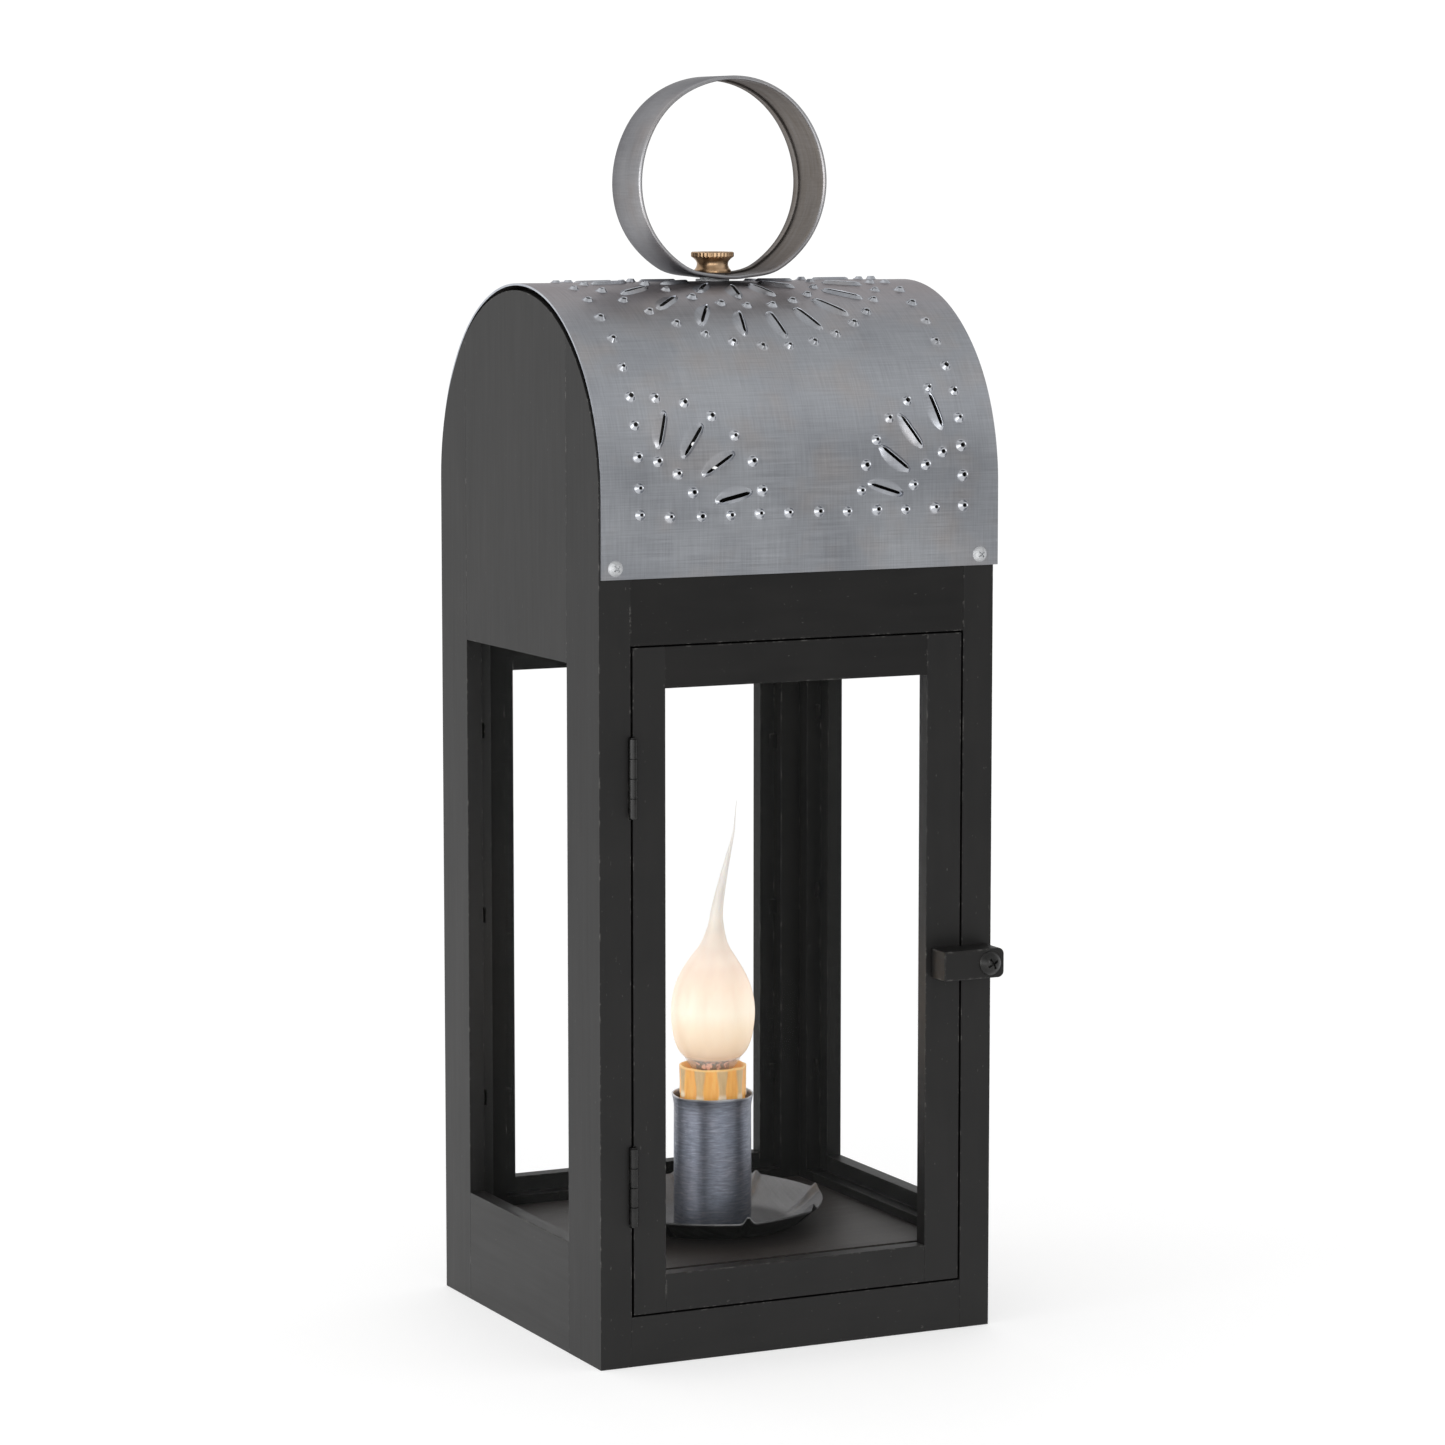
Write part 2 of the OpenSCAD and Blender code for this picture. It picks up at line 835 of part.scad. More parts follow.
module nipple_washer() {
    color(steel_grey) flat_washer(under_floor_h - washer_t, washer_t, washer_d, nipple_d);
}

// Half section of the socket's cup, from the axis to the outer face of the shell that lines it
module shell_outline() {
    r = shell_d / 2;
    polygon([
        [0, socket_floor_h],
        [r, socket_floor_h],
        [r, shell_neck_h],
        [r + shell_flare, socket_top_h],
        [0, socket_top_h]
    ]);
}

// Insulating body of the socket: a cup on a threaded hub
module lamp_socket() {
    color([0.1, 0.09, 0.09]) difference() {
        rod_z(socket_bottom_h, socket_top_h, socket_d);
        rod_z(socket_bottom_h - overcut, nipple_top_h, nipple_d);
        rod_z(nipple_top_h - overcut, socket_floor_h - 3, nipple_wire_d);
        rotate_extrude() shell_outline();
    }
}

// Copper shell that lines the cup, flared outward at the top
module socket_shell() {
    inner_r = shell_d / 2 - shell_wall;
    cone_h = 2 * shell_flare;
    color([0.72, 0.42, 0.24]) difference() {
        rotate_extrude() shell_outline();
        rod_z(socket_floor_h - overcut, shell_neck_h, 2 * inner_r);
        translate([0, 0, shell_neck_h]) cylinder(h = cone_h, r1 = inner_r, r2 = inner_r + cone_h);
    }
}

// Sprung contact in the middle of the socket's floor
module socket_contact() {
    color([0.72, 0.42, 0.24]) {
        rod_z(socket_floor_h, socket_floor_h + 0.5, 7);
        rod_z(socket_floor_h + 0.5, socket_floor_h + 1.1, 4);
    }
}

// ---- Bulb ----

// Screw base: a rolled shell on an insulator with a tip contact, solid inside
module bulb_base() {
    thread_pitch = 2.5;
    threads = 4;
    color([0.75, 0.6, 0.35]) {
        rod_z(base_bottom_h - 1, base_bottom_h, 4.5);
        translate([0, 0, base_bottom_h]) cylinder(h = 1.8, d1 = 6, d2 = base_d - 1.2);
        for (i = [0 : threads - 1])
            translate([0, 0, base_bottom_h + 1.8 + i * thread_pitch]) {
                cylinder(h = thread_pitch / 2, d1 = base_d - 1.2, d2 = base_d);
                translate([0, 0, thread_pitch / 2])
                    cylinder(h = thread_pitch / 2, d1 = base_d, d2 = base_d - 1.2);
            }
        rod_z(base_bottom_h + 1.8 + threads * thread_pitch, base_top_h, base_d - 1.2);
    }
}

belly_r = bulb_d / 2;

// Radius of the flame body at height z above its base: a bowl up to the belly, a long shoulder above
function flame_bowl(z) = sin(90 * pow(max(0, z - neck_h) / (belly_h - neck_h), 0.8));
function flame_shoulder(z) = (1 + cos(180 * pow((z - belly_h) / (flame_h - belly_h), 1.7))) / 2;
function flame_r(z) = z < belly_h
    ? neck_r + (belly_r - neck_r) * flame_bowl(z)
    : tail_root_r + (belly_r - tail_root_r) * flame_shoulder(z);

// Flame body made smaller all over by inset, cut off at height top above its base
module flame_solid(inset, top) {
    steps = round(top / flame_step);
    side = [for (i = [0 : steps]) [flame_r(top * i / steps) - inset, base_top_h + top * i / steps]];
    rotate_extrude() polygon(concat([[0, base_top_h]], side, [[0, base_top_h + top]]));
}

// Lean of the tail's centre line at a share t of its height, and its radius there
function tail_x(t) = bulb_lean * pow(t, 1.6);
function tail_z(t) = base_top_h + flame_h + (bulb_tip_h - base_top_h - flame_h) * t;
function tail_r(t) = (tail_root_r - tail_end_r / 2) * pow(1 - t, 1.15) + tail_end_r;

module tail_ball(t) {
    translate([tail_x(t), 0, tail_z(t)]) sphere(r = tail_r(t), $fn = 24);
}

module bulb_glass() {
    color([0.95, 0.9, 0.8, 0.5]) difference() {
        flame_solid(skin_t, glass_h);
        translate([0, 0, -glass_wall]) intersection() {
            flame_solid(skin_t + glass_wall, glass_h);
            rod_z(base_top_h + 2 * glass_wall, tail_z(0), 2 * bulb_d);
        }
    }
}

module bulb_flame_skin() {
    color([0.98, 0.88, 0.7]) {
        difference() {
            flame_solid(0, flame_h);
            flame_solid(skin_t, glass_h);
            rod_z(base_top_h - overcut, base_top_h + 0.6, bulb_d);
        }
        for (i = [0 : tail_steps - 1])
            hull() {
                tail_ball(i / tail_steps);
                tail_ball((i + 1) / tail_steps);
            }
    }
}

// Glass stem, two lead wires and the filament between them
module bulb_filament() {
    lead_x = 3.2;
    stem_top_h = base_top_h + 12;
    filament_h = base_top_h + 24;
    color([0.9, 0.85, 0.75]) {
        rod_z(base_top_h + glass_wall, stem_top_h, 4.4);
        for (x = [-lead_x, lead_x])
            translate([x, 0, stem_top_h - 1]) cylinder(h = filament_h - stem_top_h + 1, d = 0.6);
        translate([-lead_x, 0, stem_top_h - 1]) rotate([0, 90, 0]) cylinder(h = 2 * lead_x, d = 0.6);
        translate([-lead_x, 0, filament_h]) rotate([0, 90, 0]) cylinder(h = 2 * lead_x, d = 0.6);
    }
}

// ---- Cord outlet ----

// Flanged bush that lines the cord hole in the back rail
module cord_bushing() {
    color([0.08, 0.08, 0.08]) difference() {
        union() {
            rod_y(0, inner_y, bushing_h, board_t, bushing_d);
            rod_y(0, half_d, bushing_h, bushing_flange_t, bushing_flange_d);
        }
        rod_y(0, inner_y - overcut, bushing_h, board_t + bushing_flange_t + 2 * overcut, bushing_bore_d);
    }
}

left_front_stile();
left_rear_stile();
left_gable_panel();
left_bottom_rail();
right_front_stile();
right_rear_stile();
right_gable_panel();
right_bottom_rail();
front_top_rail();
front_bottom_rail();
back_left_stile();
back_right_stile();
back_top_rail();
back_bottom_rail();
floor_board();
left_glass();
right_glass();
back_glass();
door_glass();
left_glass_points();
right_glass_points();
back_glass_points();
door_glass_points();
door_hinge_stile();
door_latch_stile();
door_top_rail();
door_bottom_rail();
upper_hinge_frame_leaf();
upper_hinge_door_leaf();
upper_hinge_pin();
lower_hinge_frame_leaf();
lower_hinge_door_leaf();
lower_hinge_pin();
hinge_frame_screws();
hinge_door_screws();
turn_button();
turn_button_screw();
roof_sheet();
roof_screws();
ring_handle();
handle_stud();
ring_washer();
stud_washer();
stud_hex_nut();
thumb_nut();
candle_pan();
candle_tube();
candle_sleeve();
lamp_nipple();
nipple_locknuts();
nipple_washer();
lamp_socket();
socket_shell();
socket_contact();
bulb_base();
bulb_glass();
bulb_flame_skin();
bulb_filament();
cord_bushing();
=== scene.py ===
"""Looks of the candle lantern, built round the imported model.

The exact model gives every place and size. This script adds the camera and the studio, gives each
node a procedural material, and replaces the nodes that need finer shapes: the punched roof sheet,
the hemmed ring, the knurled nut, the crimped pan, the tin tube, the dripped sleeve and the silicone
flame. Shapes are worked out in millimetres and scaled by MM; lights and camera are in metres.
"""

import math
import random

import bpy
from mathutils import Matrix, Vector, noise
from mathutils.geometry import delaunay_2d_cdt


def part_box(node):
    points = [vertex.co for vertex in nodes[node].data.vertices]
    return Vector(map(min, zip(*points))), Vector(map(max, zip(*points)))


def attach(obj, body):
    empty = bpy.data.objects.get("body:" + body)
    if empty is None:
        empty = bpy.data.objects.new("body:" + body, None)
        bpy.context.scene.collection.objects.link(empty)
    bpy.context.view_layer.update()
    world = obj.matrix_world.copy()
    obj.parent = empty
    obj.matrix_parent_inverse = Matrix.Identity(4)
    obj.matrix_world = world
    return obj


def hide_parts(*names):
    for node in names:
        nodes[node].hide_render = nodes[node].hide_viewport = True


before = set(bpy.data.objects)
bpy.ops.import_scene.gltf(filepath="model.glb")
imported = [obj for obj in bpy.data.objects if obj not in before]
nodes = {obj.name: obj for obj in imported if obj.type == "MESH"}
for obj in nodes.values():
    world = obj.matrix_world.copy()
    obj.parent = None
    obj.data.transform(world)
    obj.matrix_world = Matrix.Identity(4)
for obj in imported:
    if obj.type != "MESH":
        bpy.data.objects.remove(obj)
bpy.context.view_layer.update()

MM = 0.001
TAU = 2 * math.pi


def box_mm(node):
    """Lowest and highest corner of a node, in millimetres."""
    low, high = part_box(node)
    return low / MM, high / MM


# ---- Node graph helpers ----


class Tree:
    """A node tree, with short calls for the nodes that are used most."""

    def __init__(self, tree, space):
        self.tree = tree
        self.coords = self.add("ShaderNodeTexCoord").outputs[space]

    def add(self, kind, **settings):
        node = self.tree.nodes.new(kind)
        for key, value in settings.items():
            setattr(node, key, value)
        return node

    def feed(self, socket, value):
        """Links value to socket if it is an output, and sets it there if it is a number or a tuple."""
        if isinstance(value, bpy.types.NodeSocket):
            self.tree.links.new(value, socket)
        else:
            socket.default_value = value

    def levels(self, value, low, high, out_low=0.0, out_high=1.0, curve="LINEAR"):
        """Stretches low..high of value to out_low..out_high, clamped at both ends."""
        node = self.add("ShaderNodeMapRange", interpolation_type=curve)
        for socket, number in zip(node.inputs, (value, low, high, out_low, out_high)):
            self.feed(socket, number)
        return node.outputs[0]

    def math(self, operation, a, b=0.0):
        node = self.add("ShaderNodeMath", operation=operation)
        self.feed(node.inputs[0], a)
        self.feed(node.inputs[1], b)
        return node.outputs[0]

    def dot(self, a, b):
        node = self.add("ShaderNodeVectorMath", operation="DOT_PRODUCT")
        self.feed(node.inputs[0], a)
        self.feed(node.inputs[1], b)
        return node.outputs["Value"]


class Graph(Tree):
    """A material's node tree, which ends in one Principled shader."""

    def __init__(self, name):
        self.material = bpy.data.materials.new(name)
        self.material.use_nodes = True
        super().__init__(self.material.node_tree, "Object")
        self.shader = self.tree.nodes["Principled BSDF"]

    def attribute(self, name):
        return self.add("ShaderNodeAttribute", attribute_name=name).outputs["Vector"]

    def axes(self, vector):
        """The x, y and z of a vector."""
        node = self.add("ShaderNodeSeparateXYZ")
        self.feed(node.inputs[0], vector)
        return list(node.outputs)

    def noise(self, scale, vector=None, detail=3.0, rough=0.55):
        node = self.add("ShaderNodeTexNoise")
        self.feed(node.inputs["Vector"], vector or self.coords)
        node.inputs["Scale"].default_value = scale
        node.inputs["Detail"].default_value = detail
        node.inputs["Roughness"].default_value = rough
        return node.outputs[0]

    def streaks(self, scale, vector=None, detail=3.0, rough=0.55):
        """Noise of a different scale along each axis."""
        node = self.add("ShaderNodeMapping")
        self.feed(node.inputs["Vector"], vector or self.coords)
        node.inputs["Scale"].default_value = scale
        return self.noise(1.0, node.outputs[0], detail, rough)

    def mix(self, share, a, b):
        """Mixes colours a and b."""
        node = self.add("ShaderNodeMix", data_type="RGBA")
        self.feed(node.inputs[0], share)
        self.feed(node.inputs[6], a if isinstance(a, bpy.types.NodeSocket) else (*a, 1.0))
        self.feed(node.inputs[7], b if isinstance(b, bpy.types.NodeSocket) else (*b, 1.0))
        return node.outputs[2]

    def tones(self, value, a, b, low=0.35, high=0.7):
        """Runs from colour a to colour b as a noise value goes from low to high."""
        return self.mix(self.levels(value, low, high), a, b)

    def ramp(self, value, stops):
        """Colour ramp through (position, colour) stops."""
        node = self.add("ShaderNodeValToRGB")
        self.feed(node.inputs[0], value)
        elements = node.color_ramp.elements
        for position, _ in stops[2:]:
            elements.new(position)
        for element, (position, colour) in zip(elements, stops):
            element.position = position
            element.color = (*colour, 1.0)
        return node.outputs[0]

    def edge_wear(self, radius, spread):
        """Share from 0 to 1 of how close a point is to a sharp edge of its own piece."""
        rounded = self.add("ShaderNodeBevel", samples=4)
        rounded.inputs["Radius"].default_value = radius
        flat = self.add("ShaderNodeNewGeometry").outputs["Normal"]
        return self.levels(self.dot(rounded.outputs[0], flat), 1.0, 1.0 - spread)

    def bump(self, height, depth, strength=1.0, under=None):
        """Bump whose full height range is depth metres, laid over an earlier bump if one is given."""
        node = self.add("ShaderNodeBump")
        node.inputs["Strength"].default_value = strength
        node.inputs["Distance"].default_value = depth
        self.feed(node.inputs["Height"], height)
        if under is not None:
            self.feed(node.inputs["Normal"], under)
        return node.outputs[0]

    def finish(self, colour, rough, normal=None, **others):
        """Feeds the shader's own sockets; in the others' names an underscore stands for a space."""
        self.feed(self.shader.inputs["Base Color"], colour)
        self.feed(self.shader.inputs["Roughness"], rough)
        if normal is not None:
            self.feed(self.shader.inputs["Normal"], normal)
        for name, value in others.items():
            self.feed(self.shader.inputs[name.replace("_", " ")], value)
        return self.material


# ---- Materials ----

ALONG_X = (1.0, 0.0, 0.0)
ALONG_Y = (0.0, 1.0, 0.0)
ALONG_Z = (0.0, 0.0, 1.0)


def grain_scale(along, coarse, fine):
    """Mapping scale that is coarse along the grain and fine across it."""
    return tuple(coarse if share else fine for share in along)


def painted_wood(name, along, gloss, dust_and_lamplight=0.0, worn=1.0):
    """Satin black paint on wood: brush marks and grain along one axis, chips at the edges, fine specks.

    gloss is the paint's IOR, the next argument the share of light brown that is partly dust and partly
    painted lamplight, and worn how far its edges are chipped.
    """
    g = Graph(name)
    grain = g.streaks(grain_scale(along, 14.0, 520.0), detail=4.0, rough=0.6)
    strokes = g.streaks(grain_scale(along, 30.0, 190.0), detail=2.0)
    speck = g.streaks(grain_scale(along, 420.0, 900.0), detail=2.0)
    cloud = g.noise(28.0)
    chips = g.noise(300.0, detail=4.0, rough=0.7)
    paint = g.tones(cloud, (0.0050, 0.0048, 0.0047), (0.0085, 0.0080, 0.0076))
    paint = g.mix(g.levels(strokes, 0.4, 0.75, 0.0, 0.35), paint, (0.011, 0.0102, 0.0098))
    # Light brown: dust, and on the floor board partly painted lamplight.
    paint = g.mix(dust_and_lamplight, paint, (0.075, 0.062, 0.058))
    near_edge = g.edge_wear((0.5 + 0.4 * worn) * MM, 0.20)
    chipped = g.math("MULTIPLY", near_edge, g.levels(chips, 0.60 - 0.05 * worn, 0.67 - 0.04 * worn))
    colour = g.mix(g.math("MULTIPLY", chipped, 0.75), paint, (0.17, 0.165, 0.155))
    colour = g.mix(g.levels(speck, 0.72, 0.76, 0.0, 0.22), colour, (0.16, 0.155, 0.145))
    rough = g.levels(g.math("ADD", strokes, grain), 0.75, 1.35, 0.46, 0.51)
    normal = g.bump(grain, 0.08 * MM, 0.25)
    normal = g.bump(strokes, 0.12 * MM, 0.20, normal)
    normal = g.bump(cloud, 0.50 * MM, 0.15, normal)
    normal = g.bump(chipped, -0.10 * MM, 0.5, normal)
    return g.finish(colour, rough, normal, IOR=gloss)


def brushed_metal(name, dark, light, warm, patina_and_shade, rough, streak, grazing=(0.55, 0.55, 0.57)):
    """Brushed sheet metal. The brush attribute runs along the brushing in x and across it in y.

    Where the attribute's z is 1 the metal has the patina colour, which on the ring's inner face is partly
    and on the pan's underside wholly painted shade, and towards 2 it is darkened further as painted shade
    in a folded corner. Towards -1 it is smooth and lighter, as where a punch has stretched it; the lighter
    colour is partly a painted highlight.
    """
    g = Graph(name)
    place = g.attribute("brush")
    patina_shade_glint = g.axes(place)[2]
    lines = g.streaks((40.0, 1900.0, 0.0), place, detail=4.0, rough=0.7)
    cross = g.streaks((1700.0, 60.0, 0.0), place, rough=0.65)
    cloud = g.noise(18.0, detail=4.0, rough=0.6)
    colour = g.tones(cloud, dark, light, 0.32, 0.68)
    colour = g.mix(g.levels(g.noise(42.0), 0.50, 0.74, 0.0, 0.6), colour, warm)
    stain = g.levels(g.streaks((60.0, 420.0, 0.0), place, detail=4.0), 0.35, 0.7, 0.75, 1.0)
    # Patina colour: oxide on the roof, partly painted shade on the ring's inner face, painted shade under the
    # pan.
    colour = g.mix(g.math("MULTIPLY", g.levels(patina_shade_glint, 0.0, 1.0), stain), colour, patina_and_shade)
    # Painted shade in the hems' folded corners, where the attribute's z runs from 1 to 2.
    colour = g.mix(g.levels(patina_shade_glint, 1.0, 2.0, 0.0, 0.6), colour, (0.040, 0.036, 0.034))
    scratches = g.math("ADD", lines, g.math("MULTIPLY", cross, 0.8))
    tone = g.add("ShaderNodeVectorMath", operation="SCALE")
    g.feed(tone.inputs[0], colour)
    g.feed(tone.inputs["Scale"], g.levels(scratches, 0.70, 1.10, 1.0 - streak, 1.0 + streak))
    # Painted highlight, partly burnish: punched features are lightened in colour as well as smoothed.
    stretched_and_glint = g.levels(patina_shade_glint, 0.0, -1.0)
    bright = g.mix(g.math("MULTIPLY", stretched_and_glint, 0.6), tone.outputs[0], (0.62, 0.64, 0.68))
    spread = g.levels(g.math("ADD", lines, cloud), 0.7, 1.3, rough - 0.05, rough + 0.09)
    spread = g.math("MULTIPLY", spread, g.levels(stretched_and_glint, 0.0, 1.0, 1.0, 0.42))
    normal = g.bump(lines, 0.05 * MM, 0.30)
    normal = g.bump(cross, 0.05 * MM, 0.06, normal)
    return g.finish(bright, spread, normal, Metallic=1.0, Specular_Tint=(*grazing, 1.0))


def roof_tin():
    return brushed_metal(
        "brushed_tin", (0.345, 0.360, 0.392), (0.430, 0.445, 0.472), warm=(0.435, 0.400, 0.385),
        patina_and_shade=(0.425, 0.392, 0.392), rough=0.35, streak=0.11,
    )


def ring_tin():
    return brushed_metal(
        "ring_tin", (0.335, 0.335, 0.350), (0.415, 0.415, 0.425), warm=(0.370, 0.336, 0.325),
        # Patina: the dark brown inner face is partly oxide and partly painted shade where the ring shades
        # itself.
        patina_and_shade=(0.215, 0.192, 0.172), rough=0.34, streak=0.10, grazing=(0.34, 0.34, 0.35),
    )


def pan_tin():
    return brushed_metal(
        "pan_tin", (0.225, 0.226, 0.230), (0.265, 0.264, 0.268), warm=(0.240, 0.232, 0.230),
        # Patina here is painted shade: the pan's dark underside, where shadow falls.
        patina_and_shade=(0.050, 0.048, 0.046), rough=0.48, streak=0.10,
    )


def rolled_tin():
    """Blue-grey tin of the tube: short, dense streaks round it, and a light cut rim where z is 1."""
    g = Graph("tube_tin")
    place = g.attribute("brush")
    streaks = g.streaks((190.0, 1300.0, 0.0), place, detail=5.0, rough=0.7)
    fine = g.streaks((60.0, 2600.0, 0.0), place)
    colour = g.tones(g.noise(60.0), (0.225, 0.254, 0.312), (0.280, 0.280, 0.320))
    colour = g.tones(streaks, (0.170, 0.184, 0.225), colour, 0.38, 0.60)
    colour = g.tones(streaks, colour, (0.46, 0.48, 0.53), 0.60, 0.76)
    colour = g.mix(g.axes(place)[2], colour, (0.72, 0.74, 0.78))
    normal = g.bump(streaks, 0.07 * MM, 0.4)
    normal = g.bump(fine, 0.03 * MM, 0.3, normal)
    return g.finish(colour, g.levels(streaks, 0.35, 0.7, 0.47, 0.37), normal, Metallic=1.0)


def painted_shade_tin():
    """Unbrushed inner face of the roof sheet, dull and darkened as painted shade inside the lantern."""
    g = Graph("painted_shade_tin")
    cloud = g.noise(55.0, detail=4.0, rough=0.6)
    colour = g.tones(cloud, (0.055, 0.053, 0.052), (0.095, 0.090, 0.086))
    return g.finish(colour, g.levels(cloud, 0.3, 0.7, 0.5, 0.68), g.bump(cloud, 0.05 * MM, 0.3), Metallic=0.8)


def plain_metal(name, colour, dull, rough, mottle=500.0, relief=0.03):
    """Small hardware: mottled plating, duller in the hollows of its noise; relief is in millimetres."""
    g = Graph(name)
    fine = g.noise(mottle, rough=0.65)
    tint = g.tones(g.noise(90.0), colour, dull)
    tint = g.mix(g.levels(fine, 0.5, 0.75, 0.0, 0.6), tint, dull)
    normal = g.bump(fine, relief * MM, 0.5)
    return g.finish(tint, g.levels(fine, 0.3, 0.7, rough - 0.06, rough + 0.10), normal, Metallic=1.0)


def aged_brass():
    """Antique brass: brown lacquer in the hollows, rubbed bright at the edges."""
    g = Graph("aged_brass")
    cloud = g.noise(160.0, detail=4.0, rough=0.6)
    rubbed = g.edge_wear(0.5 * MM, 0.35)
    colour = g.tones(cloud, (0.36, 0.23, 0.13), (0.66, 0.46, 0.29))
    colour = g.mix(g.math("MULTIPLY", rubbed, 0.55), colour, (0.74, 0.56, 0.38))
    rough = g.levels(cloud, 0.3, 0.7, 0.26, 0.42)
    return g.finish(colour, rough, g.bump(cloud, 0.05 * MM, 0.3), Metallic=1.0)


def black_iron():
    """Black lacquered steel with grey rubbed edges."""
    g = Graph("black_iron")
    cloud = g.noise(240.0)
    rubbed = g.math("MULTIPLY", g.edge_wear(0.35 * MM, 0.3), g.levels(cloud, 0.45, 0.65))
    colour = g.tones(cloud, (0.006, 0.0058, 0.0055), (0.014, 0.0135, 0.013))
    colour = g.mix(g.math("MULTIPLY", rubbed, 0.6), colour, (0.16, 0.155, 0.15))
    return g.finish(colour, g.levels(cloud, 0.3, 0.7, 0.22, 0.38), g.bump(cloud, 0.06 * MM, 0.6), IOR=1.40)


def window_glass():
    """Clear thin pane: almost nothing but a slight green tint and a faint mirror."""
    g = Graph("window_glass")
    ripple = g.noise(9.0, detail=1.0)
    haze = g.tones(ripple, (0.26, 0.28, 0.27), (0.32, 0.34, 0.33), 0.3)
    normal = g.bump(ripple, 0.4 * MM, 0.15)
    return g.finish(haze, g.levels(ripple, 0.3, 0.7, 0.03, 0.07), normal, Alpha=0.008, IOR=1.5)


def amber_sleeve():
    """Amber wax-like sleeve, with a painted glow for the lamp's light shining through it.

    The drip attribute holds the share of a drip in x, of its pale tip in y, and of the lit rim in z.
    """
    g = Graph("amber_sleeve")
    drip, tip, lip = g.axes(g.attribute("drip"))
    wax = g.streaks((700.0, 700.0, 120.0))
    amber = g.tones(wax, (0.83, 0.43, 0.115), (0.73, 0.33, 0.075))
    run = g.tones(wax, (0.57, 0.40, 0.20), (0.48, 0.325, 0.165))
    colour = g.mix(drip, amber, run)
    colour = g.mix(tip, colour, (0.80, 0.66, 0.50))
    colour = g.mix(g.math("MULTIPLY", lip, 0.8), colour, (0.84, 0.55, 0.24))
    return g.finish(
        colour, g.levels(wax, 0.3, 0.7, 0.34, 0.48), g.bump(wax, 0.10 * MM, 0.35), IOR=1.46,
        Subsurface_Weight=0.25, Subsurface_Radius=(0.003, 0.0014, 0.0005), Subsurface_Scale=1.0,
        # Painted glow: the sleeve is no lamp; its emission stands in for lamplight through the wax.
        Emission_Color=colour, Emission_Strength=0.30,
    )


# Shares of the flame's height between which its neck gives way to its bowl
FLAME_NECK = (0.068, 0.074)


def flame_glow(g, height, film, spots):
    """Light from inside the flame, by share of its height: a bright belly, a dim tail, a spotted neck."""
    glow = g.ramp(height, [
        (0.068, (0.00, 0.00, 0.00)),
        (0.076, (0.40, 0.24, 0.14)),
        (0.120, (0.52, 0.36, 0.21)),
        (0.190, (0.64, 0.50, 0.34)),
        (0.250, (0.71, 0.62, 0.49)),
        (0.340, (0.68, 0.53, 0.41)),
        (0.430, (0.62, 0.49, 0.40)),
        (0.540, (0.22, 0.18, 0.13)),
        (0.640, (0.11, 0.10, 0.09)),
        (1.000, (0.16, 0.165, 0.165)),
    ])
    glow = g.mix(g.levels(film, 0.3, 0.75, 0.0, 0.10), glow, (0.0, 0.0, 0.0))
    return g.mix(g.levels(height, *FLAME_NECK), spots, glow)


def flame_silicone(low, high):
    """Frosted silicone, lit from inside: brightest at the belly, brown at the neck, faint in the tail."""
    g = Graph("silicone_flame")
    height = g.levels(g.axes(g.coords)[2], low, high)
    film = g.streaks((170.0, 170.0, 60.0))
    blots = g.noise(330.0, detail=2.0)
    neck = g.tones(blots, (0.020, 0.012, 0.009), (0.70, 0.27, 0.17), 0.47, 0.55)
    spots = g.tones(blots, (0.0, 0.0, 0.0), (0.55, 0.28, 0.20), 0.50, 0.58)
    tail = g.tones(film, (0.88, 0.83, 0.78), (0.82, 0.76, 0.70))
    bowl = g.tones(film, (0.52, 0.455, 0.395), (0.50, 0.435, 0.37))
    body = g.mix(g.levels(height, 0.40, 0.58), bowl, tail)
    body = g.mix(g.levels(height, *FLAME_NECK), neck, body)
    return g.finish(
        body, g.levels(film, 0.3, 0.7, 0.42, 0.55), g.bump(film, 0.12 * MM, 0.25), IOR=1.41,
        Subsurface_Weight=0.30, Subsurface_Radius=(0.006, 0.004, 0.0025), Subsurface_Scale=1.0,
        Emission_Color=flame_glow(g, height, film, spots), Emission_Strength=1.0, Specular_IOR_Level=0.25,
        Coat_Weight=g.levels(height, FLAME_NECK[0], 0.090, 0.0, 0.3), Coat_Roughness=0.12,
    )


def moulded_black():
    """Dark moulded plastic with a fine grain."""
    g = Graph("moulded_black")
    grain = g.noise(900.0, detail=2.0)
    colour = g.tones(grain, (0.016, 0.014, 0.013), (0.030, 0.026, 0.024))
    return g.finish(colour, g.levels(grain, 0.3, 0.7, 0.42, 0.58), g.bump(grain, 0.03 * MM, 0.5), IOR=1.48)


def bulb_glass():
    """Thin clear bulb glass, hidden under the silicone."""
    g = Graph("bulb_glass")
    ripple = g.noise(70.0, detail=2.0)
    tint = g.mix(ripple, (0.92, 0.88, 0.80), (0.98, 0.95, 0.90))
    return g.finish(tint, g.levels(ripple, 0.3, 0.7, 0.04, 0.10), g.bump(ripple, 0.05 * MM, 0.3), Alpha=0.25)


